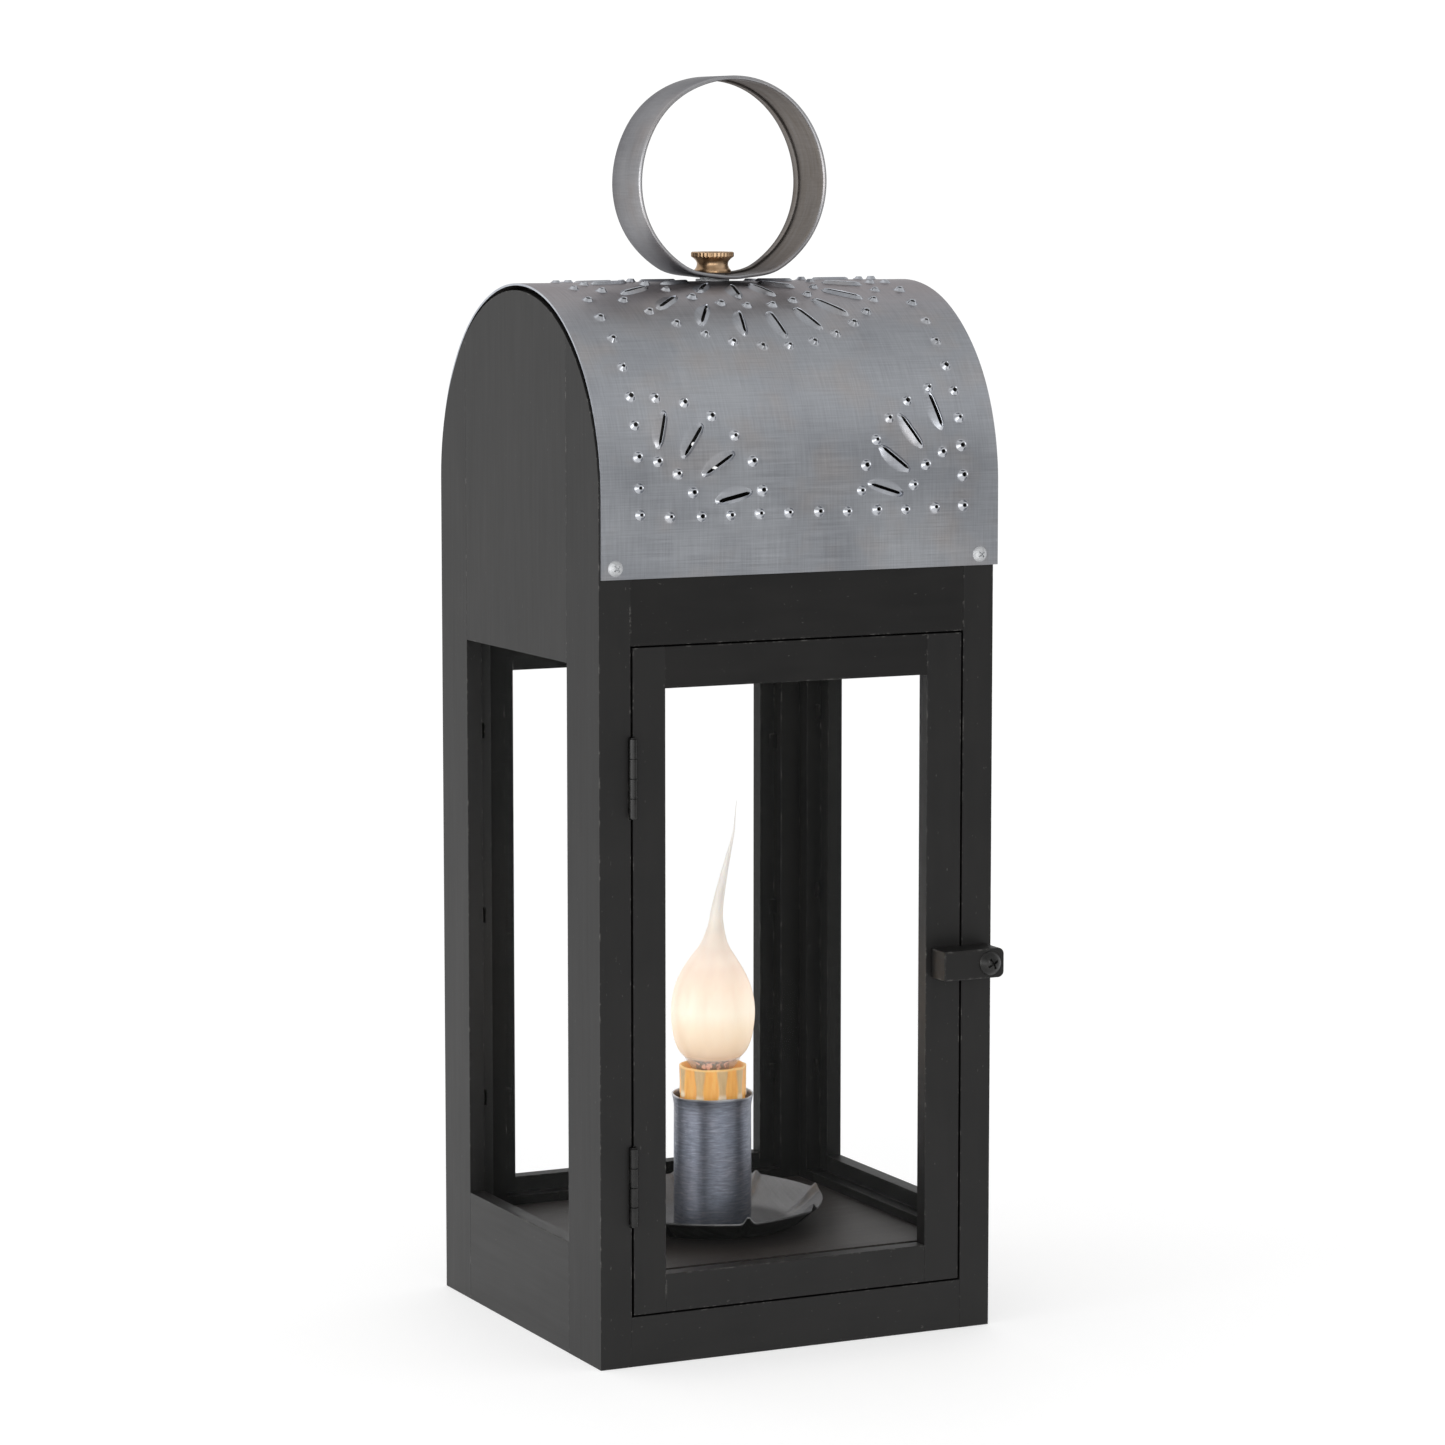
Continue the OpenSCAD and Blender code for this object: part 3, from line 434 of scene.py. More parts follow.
def table_white(half_width, half_depth):
    """Matt white studio table that glows a little, except under the lantern's footprint, where the glow is
    cut out as painted shadow.
    """
    g = Graph("studio_floor")
    cloud = g.noise(1.2, detail=2.0)
    x, y, _ = g.axes(g.coords)
    past_x = g.math("SUBTRACT", g.math("ABSOLUTE", x), half_width)
    past_y = g.math("SUBTRACT", g.math("ABSOLUTE", y), half_depth)
    # Painted shadow: the glow stops under the lantern's footprint.
    outside = g.levels(g.math("MAXIMUM", past_x, past_y), -4 * MM, 0.0)
    return g.finish(
        g.mix(cloud, (0.54, 0.54, 0.54), (0.58, 0.58, 0.58)), 0.75, Specular_IOR_Level=0.15,
        Emission_Color=g.mix(outside, (0.0, 0.0, 0.0), (1.0, 1.0, 1.0)), Emission_Strength=0.56,
    )


# ---- Mesh helpers ----


def mesh_object(name, points, faces, sharp=None):
    """Object from points in millimetres and faces, smooth except across edges sharper than sharp degrees."""
    mesh = bpy.data.meshes.new(name)
    mesh.from_pydata([tuple(c * MM for c in p) for p in points], [], faces)
    mesh.validate()
    mesh.polygons.foreach_set("use_smooth", [True] * len(mesh.polygons))
    if sharp is not None:
        mesh.set_sharp_from_angle(angle=math.radians(sharp))
    mesh.update()
    made = bpy.data.objects.new(name, mesh)
    bpy.context.scene.collection.objects.link(made)
    return made


def store_vectors(made, name, values):
    """Keeps one vector per point on the mesh, for a material to read."""
    attribute = made.data.attributes.new(name, "FLOAT_VECTOR", "POINT")
    flat = [component for value in values for component in value]
    attribute.data.foreach_set("vector", flat)


def closed_grid(rows, columns, open_ends=False):
    """Quads of a grid whose columns close into a ring, and whose rows do too unless its ends are open."""
    faces = []
    for i in range(rows - 1 if open_ends else rows):
        j = (i + 1) % rows
        for k in range(columns):
            m = (k + 1) % columns
            faces.append((i * columns + k, i * columns + m, j * columns + m, j * columns + k))
    return faces


def turned(profile, steps, shape=None):
    """Points of a closed section of (radius, height) turned round Z; shape may change each point.

    Rows run along the section and columns round the axis.
    """
    points = []
    for index, (radius, height) in enumerate(profile):
        for k in range(steps):
            angle = TAU * k / steps
            r, z = shape(index, radius, height, angle) if shape else (radius, height)
            points.append((r * math.cos(angle), r * math.sin(angle), z))
    return points


def smooth(t):
    """Eases from 0 to 1."""
    t = min(1.0, max(0.0, t))
    return t * t * (3.0 - 2.0 * t)


def turn_between(angle, other):
    """Signed turn from one angle to another, between -pi and pi."""
    return (angle - other + math.pi) % TAU - math.pi


def dress(made, material, body, slot, *replaced):
    """Gives a new piece its material and its body, and hides the nodes it stands for. Its slot is not used.
    """
    made.data.materials.append(material)
    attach(made, body)
    if replaced:
        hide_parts(*replaced)
    return made


# ---- Punched roof sheet ----

roof_low, roof_high = box_mm("roof_sheet")
_, stud_high = box_mm("handle_stud")
screws_low, screws_high = box_mm("roof_screws")

# The sheet's outer radius, the height at which it turns straight, and its length from ridge to foot
ROOF_R = roof_high.y
ROOF_SPRING = roof_high.z - ROOF_R
ROOF_ARC = ROOF_R * math.pi / 2
ROOF_REACH = ROOF_ARC + ROOF_SPRING - roof_low.z
ROOF_THICK = 0.8
LIP_SHARE = 0.25
GRID = 2.6

# The four screws: distance from the ridge along the sheet, and from the middle across it
SCREW_S = ROOF_ARC + ROOF_SPRING - (screws_low.z + screws_high.z) / 2
SCREW_X = (screws_high.x - screws_low.x) / 2 - 3.0
SCREW_HOLE = 1.55

# The punched pattern, slightly off the middle: its edges, its bottom row, and the fans' centres
PATTERN_X = 1.3
BURST_X = 1.5
BORDER_X = 67.4
BOTTOM_S = 127.7
FAN_S = 129.8

CONE_BASE = 2.1
CONE_HEIGHT = 1.15
CONE_SKEW = 0.35
SLIT_HALF = 6.65
SLIT_GAP = 0.74
SLIT_HEIGHT = 1.05
# Width of each flank at the slit's ends, and how much wider it is in the middle
SLIT_WIDE_FLANK = (1.2, 1.7)
SLIT_STEEP_FLANK = (0.9, 0.4)


def roof_point(x, s, lift):
    """Point lift outside the sheet; s runs along it from the ridge and is negative at the front."""
    side = -1.0 if s < 0 else 1.0
    along = abs(s)
    if along > ROOF_ARC:
        return Vector((x, side * (ROOF_R + lift), ROOF_SPRING - (along - ROOF_ARC)))
    angle = along / ROOF_R
    reach = ROOF_R + lift
    return Vector((x, side * reach * math.sin(angle), ROOF_SPRING + reach * math.cos(angle)))


def circle(x, s, radius, count):
    """Points round a circle on the flat sheet."""
    angles = [TAU * k / count for k in range(count)]
    return [(x + radius * math.cos(a), s + radius * math.sin(a)) for a in angles]


class Cone:
    """A hole punched from below, which raises a small leaning cone with a torn lip."""

    def __init__(self, x, s, rng):
        self.x = x + rng.uniform(-0.4, 0.4)
        self.s = s + rng.uniform(-0.4, 0.4)
        self.lean_x = CONE_SKEW * rng.uniform(0.6, 1.4)
        self.lean_s = CONE_SKEW * rng.uniform(0.4, 1.2)
        self.hole = rng.uniform(0.60, 0.92)
        self.tip = self.hole + 0.38
        self.base = CONE_BASE * rng.uniform(0.92, 1.08)
        self.tall = CONE_HEIGHT * rng.uniform(0.85, 1.12)
        self.reach = self.base + 0.6

    def centre(self, t):
        """Centre of the cone's level at share t of the way from its tip to its base."""
        return self.x + self.lean_x * (1.0 - t), self.s + self.lean_s * (1.0 - t)

    def rings(self):
        """Closed loops of points; the first is the hole's edge."""
        slope = self.base - self.tip
        sizes = [
            (self.hole, 0.0, 10), (self.tip, 0.0, 10), (self.tip + slope / 3, 1 / 3, 12),
            (self.tip + slope * 2 / 3, 2 / 3, 14), (self.base - 0.1, 1.0, 14), (self.base + 0.4, 1.0, 14),
        ]
        loops = []
        for r, t, n in sizes:
            loops.append(circle(*self.centre(t), r, n))
        return loops

    def depth_inside(self, x, s):
        x0, s0 = self.centre(0.0)
        return self.hole - math.hypot(x - x0, s - s0)

    def lift(self, x, s):
        x0, s0 = self.centre(0.0)
        r = math.hypot(x - x0, s - s0)
        if r <= self.tip + 0.01:
            return self.tall - 0.25 * (self.tip - r) / (self.tip - self.hole)
        t = 0.5
        for _ in range(5):
            x0, s0 = self.centre(t)
            t = min(1.0, max(0.0, (math.hypot(x - x0, s - s0) - self.tip) / (self.base - self.tip)))
        return self.tall * (1.0 - t) ** 1.2

    def burnish_and_glint(self, x, s):
        """Share of lighter metal at a point: burnished by the punch, and partly a painted highlight."""
        return 0.8 if self.lift(x, s) > 0.05 else 0.0


class Slit:
    """A chisel cut punched from below: a tent with a wide flank on its left, a steep one on its right."""

    def __init__(self, x, s, angle, rng, half=SLIT_HALF):
        self.x = x
        self.s = s
        self.turn = angle + math.radians(rng.uniform(-2.5, 2.5))
        self.half = half * rng.uniform(0.96, 1.04)
        self.tall = SLIT_HEIGHT * rng.uniform(0.88, 1.1)
        self.gap = SLIT_GAP * rng.uniform(0.85, 1.15)
        upward = 0.6 if s < 0 else -0.6
        self.wide_side = 1.0 if 0.8 * math.sin(self.turn) + upward * math.cos(self.turn) > 0 else -1.0
        self.reach = self.half + 2.6

    def local(self, x, s):
        """Distance along the cut and across it."""
        dx, ds = x - self.x, s - self.s
        c, sn = math.cos(self.turn), math.sin(self.turn)
        return dx * c + ds * sn, ds * c - dx * sn

    def skirt(self, u, side):
        """Width of the flank on one side at distance u along the cut."""
        t = min(1.0, abs(u) / self.half)
        end, belly = SLIT_WIDE_FLANK if side == self.wide_side else SLIT_STEEP_FLANK
        return end + belly * (1.0 - t * t)

    def end_skirt(self, lean):
        """Width of the slope round an end; lean is -1 to 1 from one side of the cut to the other."""
        return 0.5 * ((1.0 + lean) * self.skirt(self.half, 1.0) + (1.0 - lean) * self.skirt(self.half, -1.0))

    def opening(self, u):
        """Half width of the opening, which stays open nearly to its blunt ends."""
        t = min(1.0, abs(u) / self.half)
        return self.gap * (1.0 - 0.6 * t ** 10)

    def loop(self, share, extra=0.0):
        """Loop that runs at a share of the flanks' widths outside the opening, plus extra."""
        points = []
        for side in (1.0, -1.0):
            for k in range(11):
                u = side * self.half * (k / 5 - 1.0)
                points.append((u, side * (self.opening(u) + share * self.skirt(u, side) + extra)))
            for a in (math.pi / 4, 0.0, -math.pi / 4):
                r = self.opening(self.half) + share * self.end_skirt(side * math.sin(a)) + extra
                if share > 0.0:
                    points.append((side * (self.half + r * math.cos(a)), side * r * math.sin(a)))
        c, sn = math.cos(self.turn), math.sin(self.turn)
        return [(self.x + u * c - v * sn, self.s + u * sn + v * c) for u, v in points]

    def rings(self):
        return [self.loop(0.0), self.loop(0.5), self.loop(0.96), self.loop(1.0, 0.35)]

    def depth_inside(self, x, s):
        u, v = self.local(x, s)
        if abs(u) > self.half:
            return -1.0
        return self.opening(u) - abs(v)

    def outside(self, x, s):
        """Share of the way down the flank at a point; over 1 it is off the feature."""
        u, v = self.local(x, s)
        if abs(u) <= self.half:
            side = 1.0 if v > 0 else -1.0
            return (abs(v) - self.opening(u)) / self.skirt(u, side)
        r = math.hypot(abs(u) - self.half, v)
        return (r - self.opening(self.half)) / self.end_skirt(v / r)

    def lift(self, x, s):
        return self.tall * (1.0 - min(1.0, max(0.0, self.outside(x, s))))

    def burnish_and_glint(self, x, s):
        """Share of lighter metal at a point, at the ends and a trace on the flanks: burnish, and partly a
        painted highlight.
        """
        if self.outside(x, s) > 0.99:
            return 0.0
        return 0.05 + 0.75 * smooth((abs(self.local(x, s)[0]) - self.half + 0.8) / 1.2)


class Bore:
    """A plain round hole for the stud or a screw."""

    def __init__(self, x, s, radius):
        self.x, self.s, self.radius = x, s, radius
        self.reach = radius + 0.8

    def rings(self):
        return [circle(self.x, self.s, self.radius + wider, 20) for wider in (0.0, 0.6)]

    def depth_inside(self, x, s):
        return self.radius - math.hypot(x - self.x, s - self.s)

    def lift(self, x, s):
        return 0.0

    def burnish_and_glint(self, x, s):
        return 0.0


# Side, first cone's distance from the ridge, then its gap to the next, the gaps low down and high up
BORDER_COLUMNS = [(-1, 126.4, 9.2, 11.6, 13.1), (1, 127.0, 11.3, 10.9, 11.9)]
GAP_CHANGE_S = 82.5
COLUMN_END_S = 8.0
BOTTOM_COUNT = 12


def border_cones(rng):
    """Columns up both edges and over the ridge, and a row along the foot of each half."""
    cones = []
    for side, first, first_gap, low_gap, high_gap in BORDER_COLUMNS:
        x = PATTERN_X + side * BORDER_X
        s = first
        gap = first_gap
        while s > COLUMN_END_S:
            cones += [Cone(x, half * s, rng) for half in (1, -1)]
            s -= gap
            gap = low_gap if s > GAP_CHANGE_S else high_gap
        cones.append(Cone(x, 0.0, rng))
    pitch = 2 * BORDER_X / (BOTTOM_COUNT - 1)
    for k in range(1, BOTTOM_COUNT - 1):
        cones += [Cone(PATTERN_X - BORDER_X + k * pitch, half * BOTTOM_S, rng) for half in (1, -1)]
    return cones


# Each arc's radii straight above the fan's centre and straight beside it. For the left and right fans:
# the outer cones' arc, the slits' arc, and the lowest slit's angle
INNER_ARC = (24.0, 24.0)
FAN_ARCS = {-1: ((47.3, 51.5), (34.6, 39.3), 12.7), 1: ((50.3, 44.5), (42.2, 34.2), 16.4)}


def corner_fan(side, half, rng):
    """Two arcs of cones and a fan of slits in one lower corner of the pattern."""
    outer_arc, slit_arc, first_slit = FAN_ARCS[side]

    def place(arc, degrees):
        upright, sideways = arc
        a = math.radians(degrees)
        radius = upright + (sideways - upright) * math.cos(a)
        x = PATTERN_X + side * (BORDER_X - radius * math.cos(a))
        return x, half * (FAN_S - radius * math.sin(a))

    made = [Cone(*place(outer_arc, 11.7 + 13.2 * k), rng) for k in range(6)]
    made += [Cone(*place(INNER_ARC, 26.5 + 22 * k), rng) for k in range(3)]
    for degrees in [first_slit + 20.1 * k for k in range(4)]:
        a = math.radians(degrees)
        direction = math.atan2(-half * math.sin(a), -side * math.cos(a))
        made.append(Slit(*place(slit_arc, degrees), direction, rng))
    return made


# Kind, radius, first angle, count and half length of each ring round the stud
BURST_RINGS = [
    ("cone", 61.3, -86.1, 34, None),
    ("cone", 37.3, -80.0, 22, None),
    ("slit", 49.2, -85.6, 21, SLIT_HALF),
    ("slit", 23.6, -97.5, 12, 6.2),
]


def ridge_sunburst(rng):
    """Rings of cones and slits round the stud."""
    made = []
    for kind, radius, first, count, slit_half in BURST_RINGS:
        for k in range(count):
            a = math.radians(first + 360 * k / count)
            place = (BURST_X + radius * math.cos(a), radius * math.sin(a))
            made.append(Cone(*place, rng) if kind == "cone" else Slit(*place, a, rng, slit_half))
    return made


def roof_features():
    rng = random.Random(7)
    made = border_cones(rng)
    for side in (-1, 1):
        for half in (-1, 1):
            made += corner_fan(side, half, rng)
    made += ridge_sunburst(rng)
    made.append(Bore(0.0, 0.0, stud_high.x + 0.1))
    for x in (-SCREW_X, SCREW_X):
        made += [Bore(x, s, SCREW_HOLE) for s in (-SCREW_S, SCREW_S)]
    return made


class Lookup:
    """Features found by the square of the sheet that they reach into."""

    CELL = 8.0

    def __init__(self, features):
        self.cells = {}
        for f in features:
            for i in range(self.cell(f.x - f.reach), self.cell(f.x + f.reach) + 1):
                for j in range(self.cell(f.s - f.reach), self.cell(f.s + f.reach) + 1):
                    self.cells.setdefault((i, j), []).append(f)

    def cell(self, value):
        return math.floor(value / self.CELL)

    def near(self, x, s):
        return self.cells.get((self.cell(x), self.cell(s)), [])


def sheet_border(x0, x1):
    """Points round the flat sheet's outline."""
    corners = [(x0, -ROOF_REACH), (x1, -ROOF_REACH), (x1, ROOF_REACH), (x0, ROOF_REACH)]
    points = []
    for (ax, ay), (bx, by) in zip(corners, corners[1:] + corners[:1]):
        count = max(2, round(math.hypot(bx - ax, by - ay) / GRID))
        points += [(ax + (bx - ax) * k / count, ay + (by - ay) * k / count) for k in range(count)]
    return points


def loop_edges(start, count):
    return [(start + k, start + (k + 1) % count) for k in range(count)]


def flat_sheet(features, lookup):
    """Points of the flat sheet, and the edges that its triangulation has to keep."""
    x0, x1 = roof_low.x, roof_high.x
    flat = sheet_border(x0, x1)
    edges = loop_edges(0, len(flat))
    for f in features:
        for ring in f.rings():
            edges += loop_edges(len(flat), len(ring))
            flat += ring
    columns = round((x1 - x0) / GRID)
    rows = round(2 * ROOF_REACH / GRID)
    for i in range(1, columns):
        for j in range(1, rows):
            x = x0 + (x1 - x0) * (i + 0.5 * (j % 2) - 0.25) / columns
            s = -ROOF_REACH + 2 * ROOF_REACH * j / rows
            if not any(touches(f, x, s) for f in lookup.near(x, s)):
                flat.append((x, s))
    return [Vector(p) for p in flat], edges


def thicken_sheet(roof, lips):
    """Gives the sheet its thickness, inwards from the outer face and thinner at the lips of its holes."""
    body = roof.vertex_groups.new(name="body")
    body.add(range(len(roof.data.vertices)), 1.0, "REPLACE")
    body.add(lips, LIP_SHARE, "REPLACE")
    thick = roof.modifiers.new("thickness", "SOLIDIFY")
    thick.thickness = ROOF_THICK * MM
    thick.offset = -1.0
    thick.vertex_group = body.name
    thick.material_offset = 1
    thick.material_offset_rim = 2
    crisp = roof.modifiers.new("crisp", "EDGE_SPLIT")
    crisp.split_angle = math.radians(38)


def punched_roof(material, underside, cut_edge):
    """The sheet as a flat triangulation round its features, then lifted and bent over the arch."""
    features = roof_features()
    lookup = Lookup(features)
    made = delaunay_2d_cdt(*flat_sheet(features, lookup), [], 0, 1e-4)
    spots, triangles = made[0], made[2]
    kept = [t for t in triangles if not in_a_hole(lookup, [spots[i] for i in t])]
    points = [roof_point(p.x, p.y, sheet_lift(lookup, p.x, p.y)) for p in spots]
    roof = mesh_object("punched_roof", points, kept, sharp=30)
    store_vectors(roof, "brush", [(p.x * MM, p.y * MM, sheet_wear_and_glint(lookup, p.x, p.y)) for p in spots])
    outward = Vector(points[kept[0][0]]) - Vector((0, 0, ROOF_SPRING))
    if roof.data.polygons[0].normal.dot(outward) < 0:
        roof.data.flip_normals()
    thicken_sheet(roof, [k for k, p in enumerate(spots) if on_a_lip(lookup, p.x, p.y)])
    dress(roof, material, "case", "brushed_tin", "roof_sheet")
    roof.data.materials.append(underside)
    roof.data.materials.append(cut_edge)


def touches(feature, x, s):
    """True if a grid point lies on a feature or so close that it would make thin triangles."""
    if isinstance(feature, Slit):
        return feature.outside(x, s) < 1.0 + 0.9 / feature.end_skirt(0.0)
    return math.hypot(x - feature.x, s - feature.s) < feature.reach + 0.3


def on_a_lip(lookup, x, s):
    return any(abs(f.depth_inside(x, s)) < 0.02 for f in lookup.near(x, s))


def in_a_hole(lookup, corners):
    x = sum(c.x for c in corners) / 3
    s = sum(c.y for c in corners) / 3
    return any(f.depth_inside(x, s) > 0 for f in lookup.near(x, s))


def sheet_lift(lookup, x, s):
    """Height of the sheet's outer face above the true arch: features, and a trace of hand-worked waviness."""
    lift = max([f.lift(x, s) for f in lookup.near(x, s)] or [0.0])
    wave = noise.noise(Vector((x / 34.0, s / 30.0, 3.7))) * 0.22
    edge = smooth((ROOF_REACH - abs(s)) / 20.0)
    return lift + wave * edge


def sheet_wear_and_glint(lookup, x, s):
    """Value for the metal's brush attribute: -1 on punched features, lightened as burnish and painted
    highlight, up to 1 along the handled ridge.
    """
    burnish_and_glint = max([f.burnish_and_glint(x, s) for f in lookup.near(x, s)] or [0.0])
    return -burnish_and_glint if burnish_and_glint else smooth((60.0 - abs(s)) / 45.0)


# ---- Ring handle ----

STRAP_HALF = 13.0
STRAP_THICK = 0.8
HEM = 4.5


def strap_section():
    """Closed section of the strap as (across, depth below the outer face), with both hems folded in."""
    half, t = STRAP_HALF, STRAP_THICK
    inner = half - HEM
    side = [
        (half - 0.9, 0.0), (half - 0.35, 0.14), (half - 0.05, 0.5), (half, t),
        (half - 0.05, 2 * t - 0.5), (half - 0.35, 2 * t - 0.14), (half - 0.9, 2 * t),
        (inner + 0.25, 2 * t), (inner + 0.02, 2 * t - 0.18), (inner, t + 0.15),
        (inner - 0.25, t), (inner - 0.9, t),
    ]
    one_half = [(3.0, 0.0)] + side + [(3.0, t)]
    return one_half + [(-y, d) for y, d in one_half[::-1]]


def strap_patina_and_shade(y, depth):
    """Share of patina and painted shade: none on the outer face and the folds, full inside, where it is
    partly painted shade, and double in the hems' corners, where it is painted shade.
    """
    if depth < STRAP_THICK or abs(y) > STRAP_HALF - STRAP_THICK:
        return 0.0
    inner = STRAP_HALF - HEM
    return 2.0 if inner - 0.8 < abs(y) < inner + 0.1 else 1.0


def strap_bulge(angle):
    """How far the ring's lower part stands outside its circle, as a hand-rolled strap does by its bolt."""
    up = abs(math.degrees(turn_between(angle, 1.5 * math.pi)))
    return 1.75 * smooth((up - 8.0) / 22.0) * (1.0 - smooth((up - 50.0) / 70.0))


def strap_ring(material):
    """The strap swept round its circle, slightly out of true as a hand-rolled ring is."""
    low, high = box_mm("ring_handle")
    radius = (high.x - low.x) / 2
    x0 = (high.x + low.x) / 2
    z0 = (low.z + high.z) / 2
    section = strap_section()
    steps = 180
    points, along = [], []
    for angle in [TAU * k / steps for k in range(steps)]:
        top = 0.5 + 0.5 * math.sin(angle)
        wobble = top * (0.18 * math.sin(2 * angle + 0.6) + 0.10 * math.sin(5 * angle + 1.9))
        for y, depth in section:
            r = radius - depth + wobble + strap_bulge(angle)
            wide = 1.0 + (0.008 - 0.010 * y / STRAP_HALF) * top
            tall = 1.0 - 0.006 * top
            points.append((x0 + r * wide * math.cos(angle), y, z0 + r * tall * math.sin(angle)))
            along.append((radius * angle * MM, y * MM, strap_patina_and_shade(y, depth)))
    ring = mesh_object("strap_ring", points, closed_grid(steps, len(section)), sharp=38)
    store_vectors(ring, "brush", along)
    dress(ring, material, "ring_handle", "brushed_tin", "ring_handle")


# ---- Knurled nut ----


def nut_waist(base, waist, foot, top):
    """Curve from the nut's base in to its waist and out to its flange, from height foot to top."""
    curve = []
    for t in [k / 8 for k in range(9)]:
        flare = 1.0 if t < 0.5 else 1.55
        curve.append((waist + (base - waist) * (2 * t - 1) ** 2 * flare, foot + (top - foot) * t))
    return curve


def knurled_nut(material):
    """Waisted nut with a straight knurl round its top flange."""
    low, high = box_mm("thumb_nut")
    z0, z1 = low.z, high.z
    flange = high.x
    base = flange - 1.15
    bore = stud_high.x + 0.08
    neck = z1 - 2.2
    ridges = 34
    steps = ridges * 6
    profile = [(bore, z0), (base - 0.3, z0), (base, z0 + 0.3), (base, z0 + 0.9)]
    profile += nut_waist(base, flange - 2.3, z0 + 1.1, neck)
    profile += [
        (flange - 0.35, neck + 0.1), (flange, neck + 0.4), (flange, z1 - 0.4), (flange - 0.4, z1 - 0.05),
        (flange - 1.2, z1), (bore + 1.2, z1), (bore, z1 - 0.6),
    ]

    def knurl(index, r, z, angle):
        on_flange = z > neck and r > flange - 0.5
        return (r - 0.32 * math.sin(ridges * angle / 2) ** 2 if on_flange else r), z

    points = turned(profile, steps, knurl)
    nut = mesh_object("knurled_nut", points, closed_grid(len(profile), steps), sharp=40)
    dress(nut, material, "thumb_nut", "aged_brass", "thumb_nut")


# ---- Candle ----


class PanShape:
    """Upper face of the drip pan: flat, then a nearly straight-sided rim gathered by radial pleats."""

    FLAT = 27.0
    THICK = 0.6
    PLEATS = 8
    FIRST_PLEAT = math.radians(-98)
    HIGH_SIDE = math.radians(65)
    WIDE_SIDE = math.radians(-26)

    def __init__(self, rim, bottom, rise):
        self.rim, self.bottom, self.rise = rim, bottom, rise
        rng = random.Random(5)
        turns = [TAU * k / self.PLEATS for k in range(self.PLEATS)]
        self.pleats = [self.FIRST_PLEAT + turn + rng.uniform(-0.07, 0.07) for turn in turns]
        self.sizes = [1.0 + rng.uniform(-0.3, 0.25) for _ in self.pleats]

    def straight_side(self, gap):
        """Radius of a polygon with its corners at the pleats, at an angle gap from a pleat."""
        half = math.pi / self.PLEATS
        return self.rim * math.cos(half) / math.cos(min(half, abs(gap - half)))

    def at(self, index, r, below, angle):
        """Radius and height of the pan at a nominal radius, and so far below its upper face."""
        gap, size = min((abs(turn_between(angle, p)), s) for p, s in zip(self.pleats, self.sizes))
        outward = (r - self.FLAT) / (self.rim - self.FLAT)
        out = smooth(outward)
        fold = math.exp(-(gap * r / (1.4 * size)) ** 2)
        edge = 0.5 * (self.rim + self.straight_side(gap))
        wide = max(0.0, math.cos(angle - self.WIDE_SIDE)) ** 8
        tilt = 1.0 + 0.12 * math.cos(angle - self.HIGH_SIDE)
        z = self.bottom + self.THICK + outward * out * (self.rise - 2 * self.THICK) * tilt
        z += fold * 2.2 * size * smooth((r - self.rim + 15.0) / 15.0)
        return r + out * (edge - self.rim - fold * 0.8 * size + wide), z - below


def crimped_pan(material):
    """Thin pan with a crimped rim, its underside darkened as painted shade."""
    low, high = box_mm("candle_pan")
    rim = high.x
    pan_shape = PanShape(rim, low.z, high.z - low.z)
    radii = [5.0, 9, 14, 19, 23, 27, 29.5, 31.5, 33.5, 35.5, 37.5, 39.5, 41.2, 42.6, rim]
    profile = [(r, 0.0) for r in radii] + [(r, PanShape.THICK) for r in radii[::-1]]
    steps = 288
    points = turned(profile, steps, pan_shape.at)
    pan = mesh_object("crimped_pan", points, closed_grid(len(profile), steps), sharp=50)
    # The underside inside the rim takes the patina colour as painted shade.
    shaded = [1.0 if below and r < rim else 0.0 for r, below in profile for _ in range(steps)]
    store_vectors(pan, "brush", [(x * MM, y * MM, dark) for (x, y, _), dark in zip(points, shaded)])
    dress(pan, material, "case", "brushed_tin", "candle_pan")


def tin_tube(material):
    """Rolled tin tube: flared wavy mouth, lapped seam at the back, slightly out of round."""
    low, high = box_mm("candle_tube")
    z0, z1 = low.z, high.z
    wall, flare_h, flare = 0.6, 6.0, 0.95
    radius = high.x - 0.8
    seam = math.radians(70)
    flare_z = z1 - flare_h
    levels = [z0 + (flare_z - z0) * k / 16 for k in range(16)] + [flare_z + flare_h * k / 6 for k in range(7)]
    profile = [(radius, z) for z in levels] + [(radius - wall, z) for z in levels[::-1]]
    steps = 144

    def at_mouth(z):
        return z > z1 - 0.01

    def shape(index, r, z, angle):
        r += flare * max(0.0, (z - flare_z) / flare_h) ** 2
        r += 0.10 * math.sin(2 * angle + 0.05 * z) + 0.05 * math.sin(5 * angle + 1.0)
        if math.sin(angle - seam) > 0:
            r += 0.35 * smooth((math.cos(angle - seam) - 0.985) / 0.012)
        if at_mouth(z):
            z += 0.18 * math.sin(3 * angle + 0.7) + 0.10 * math.sin(7 * angle)
        return r, z

    tube = mesh_object("tin_tube", turned(profile, steps, shape), closed_grid(len(profile), steps), sharp=45)
    arc = radius * TAU / steps * MM
    along = [(arc * k, z * MM, float(at_mouth(z))) for _, z in profile for k in range(steps)]
    store_vectors(tube, "brush", along)
    dress(tube, material, "case", "tube_tin", "candle_tube")


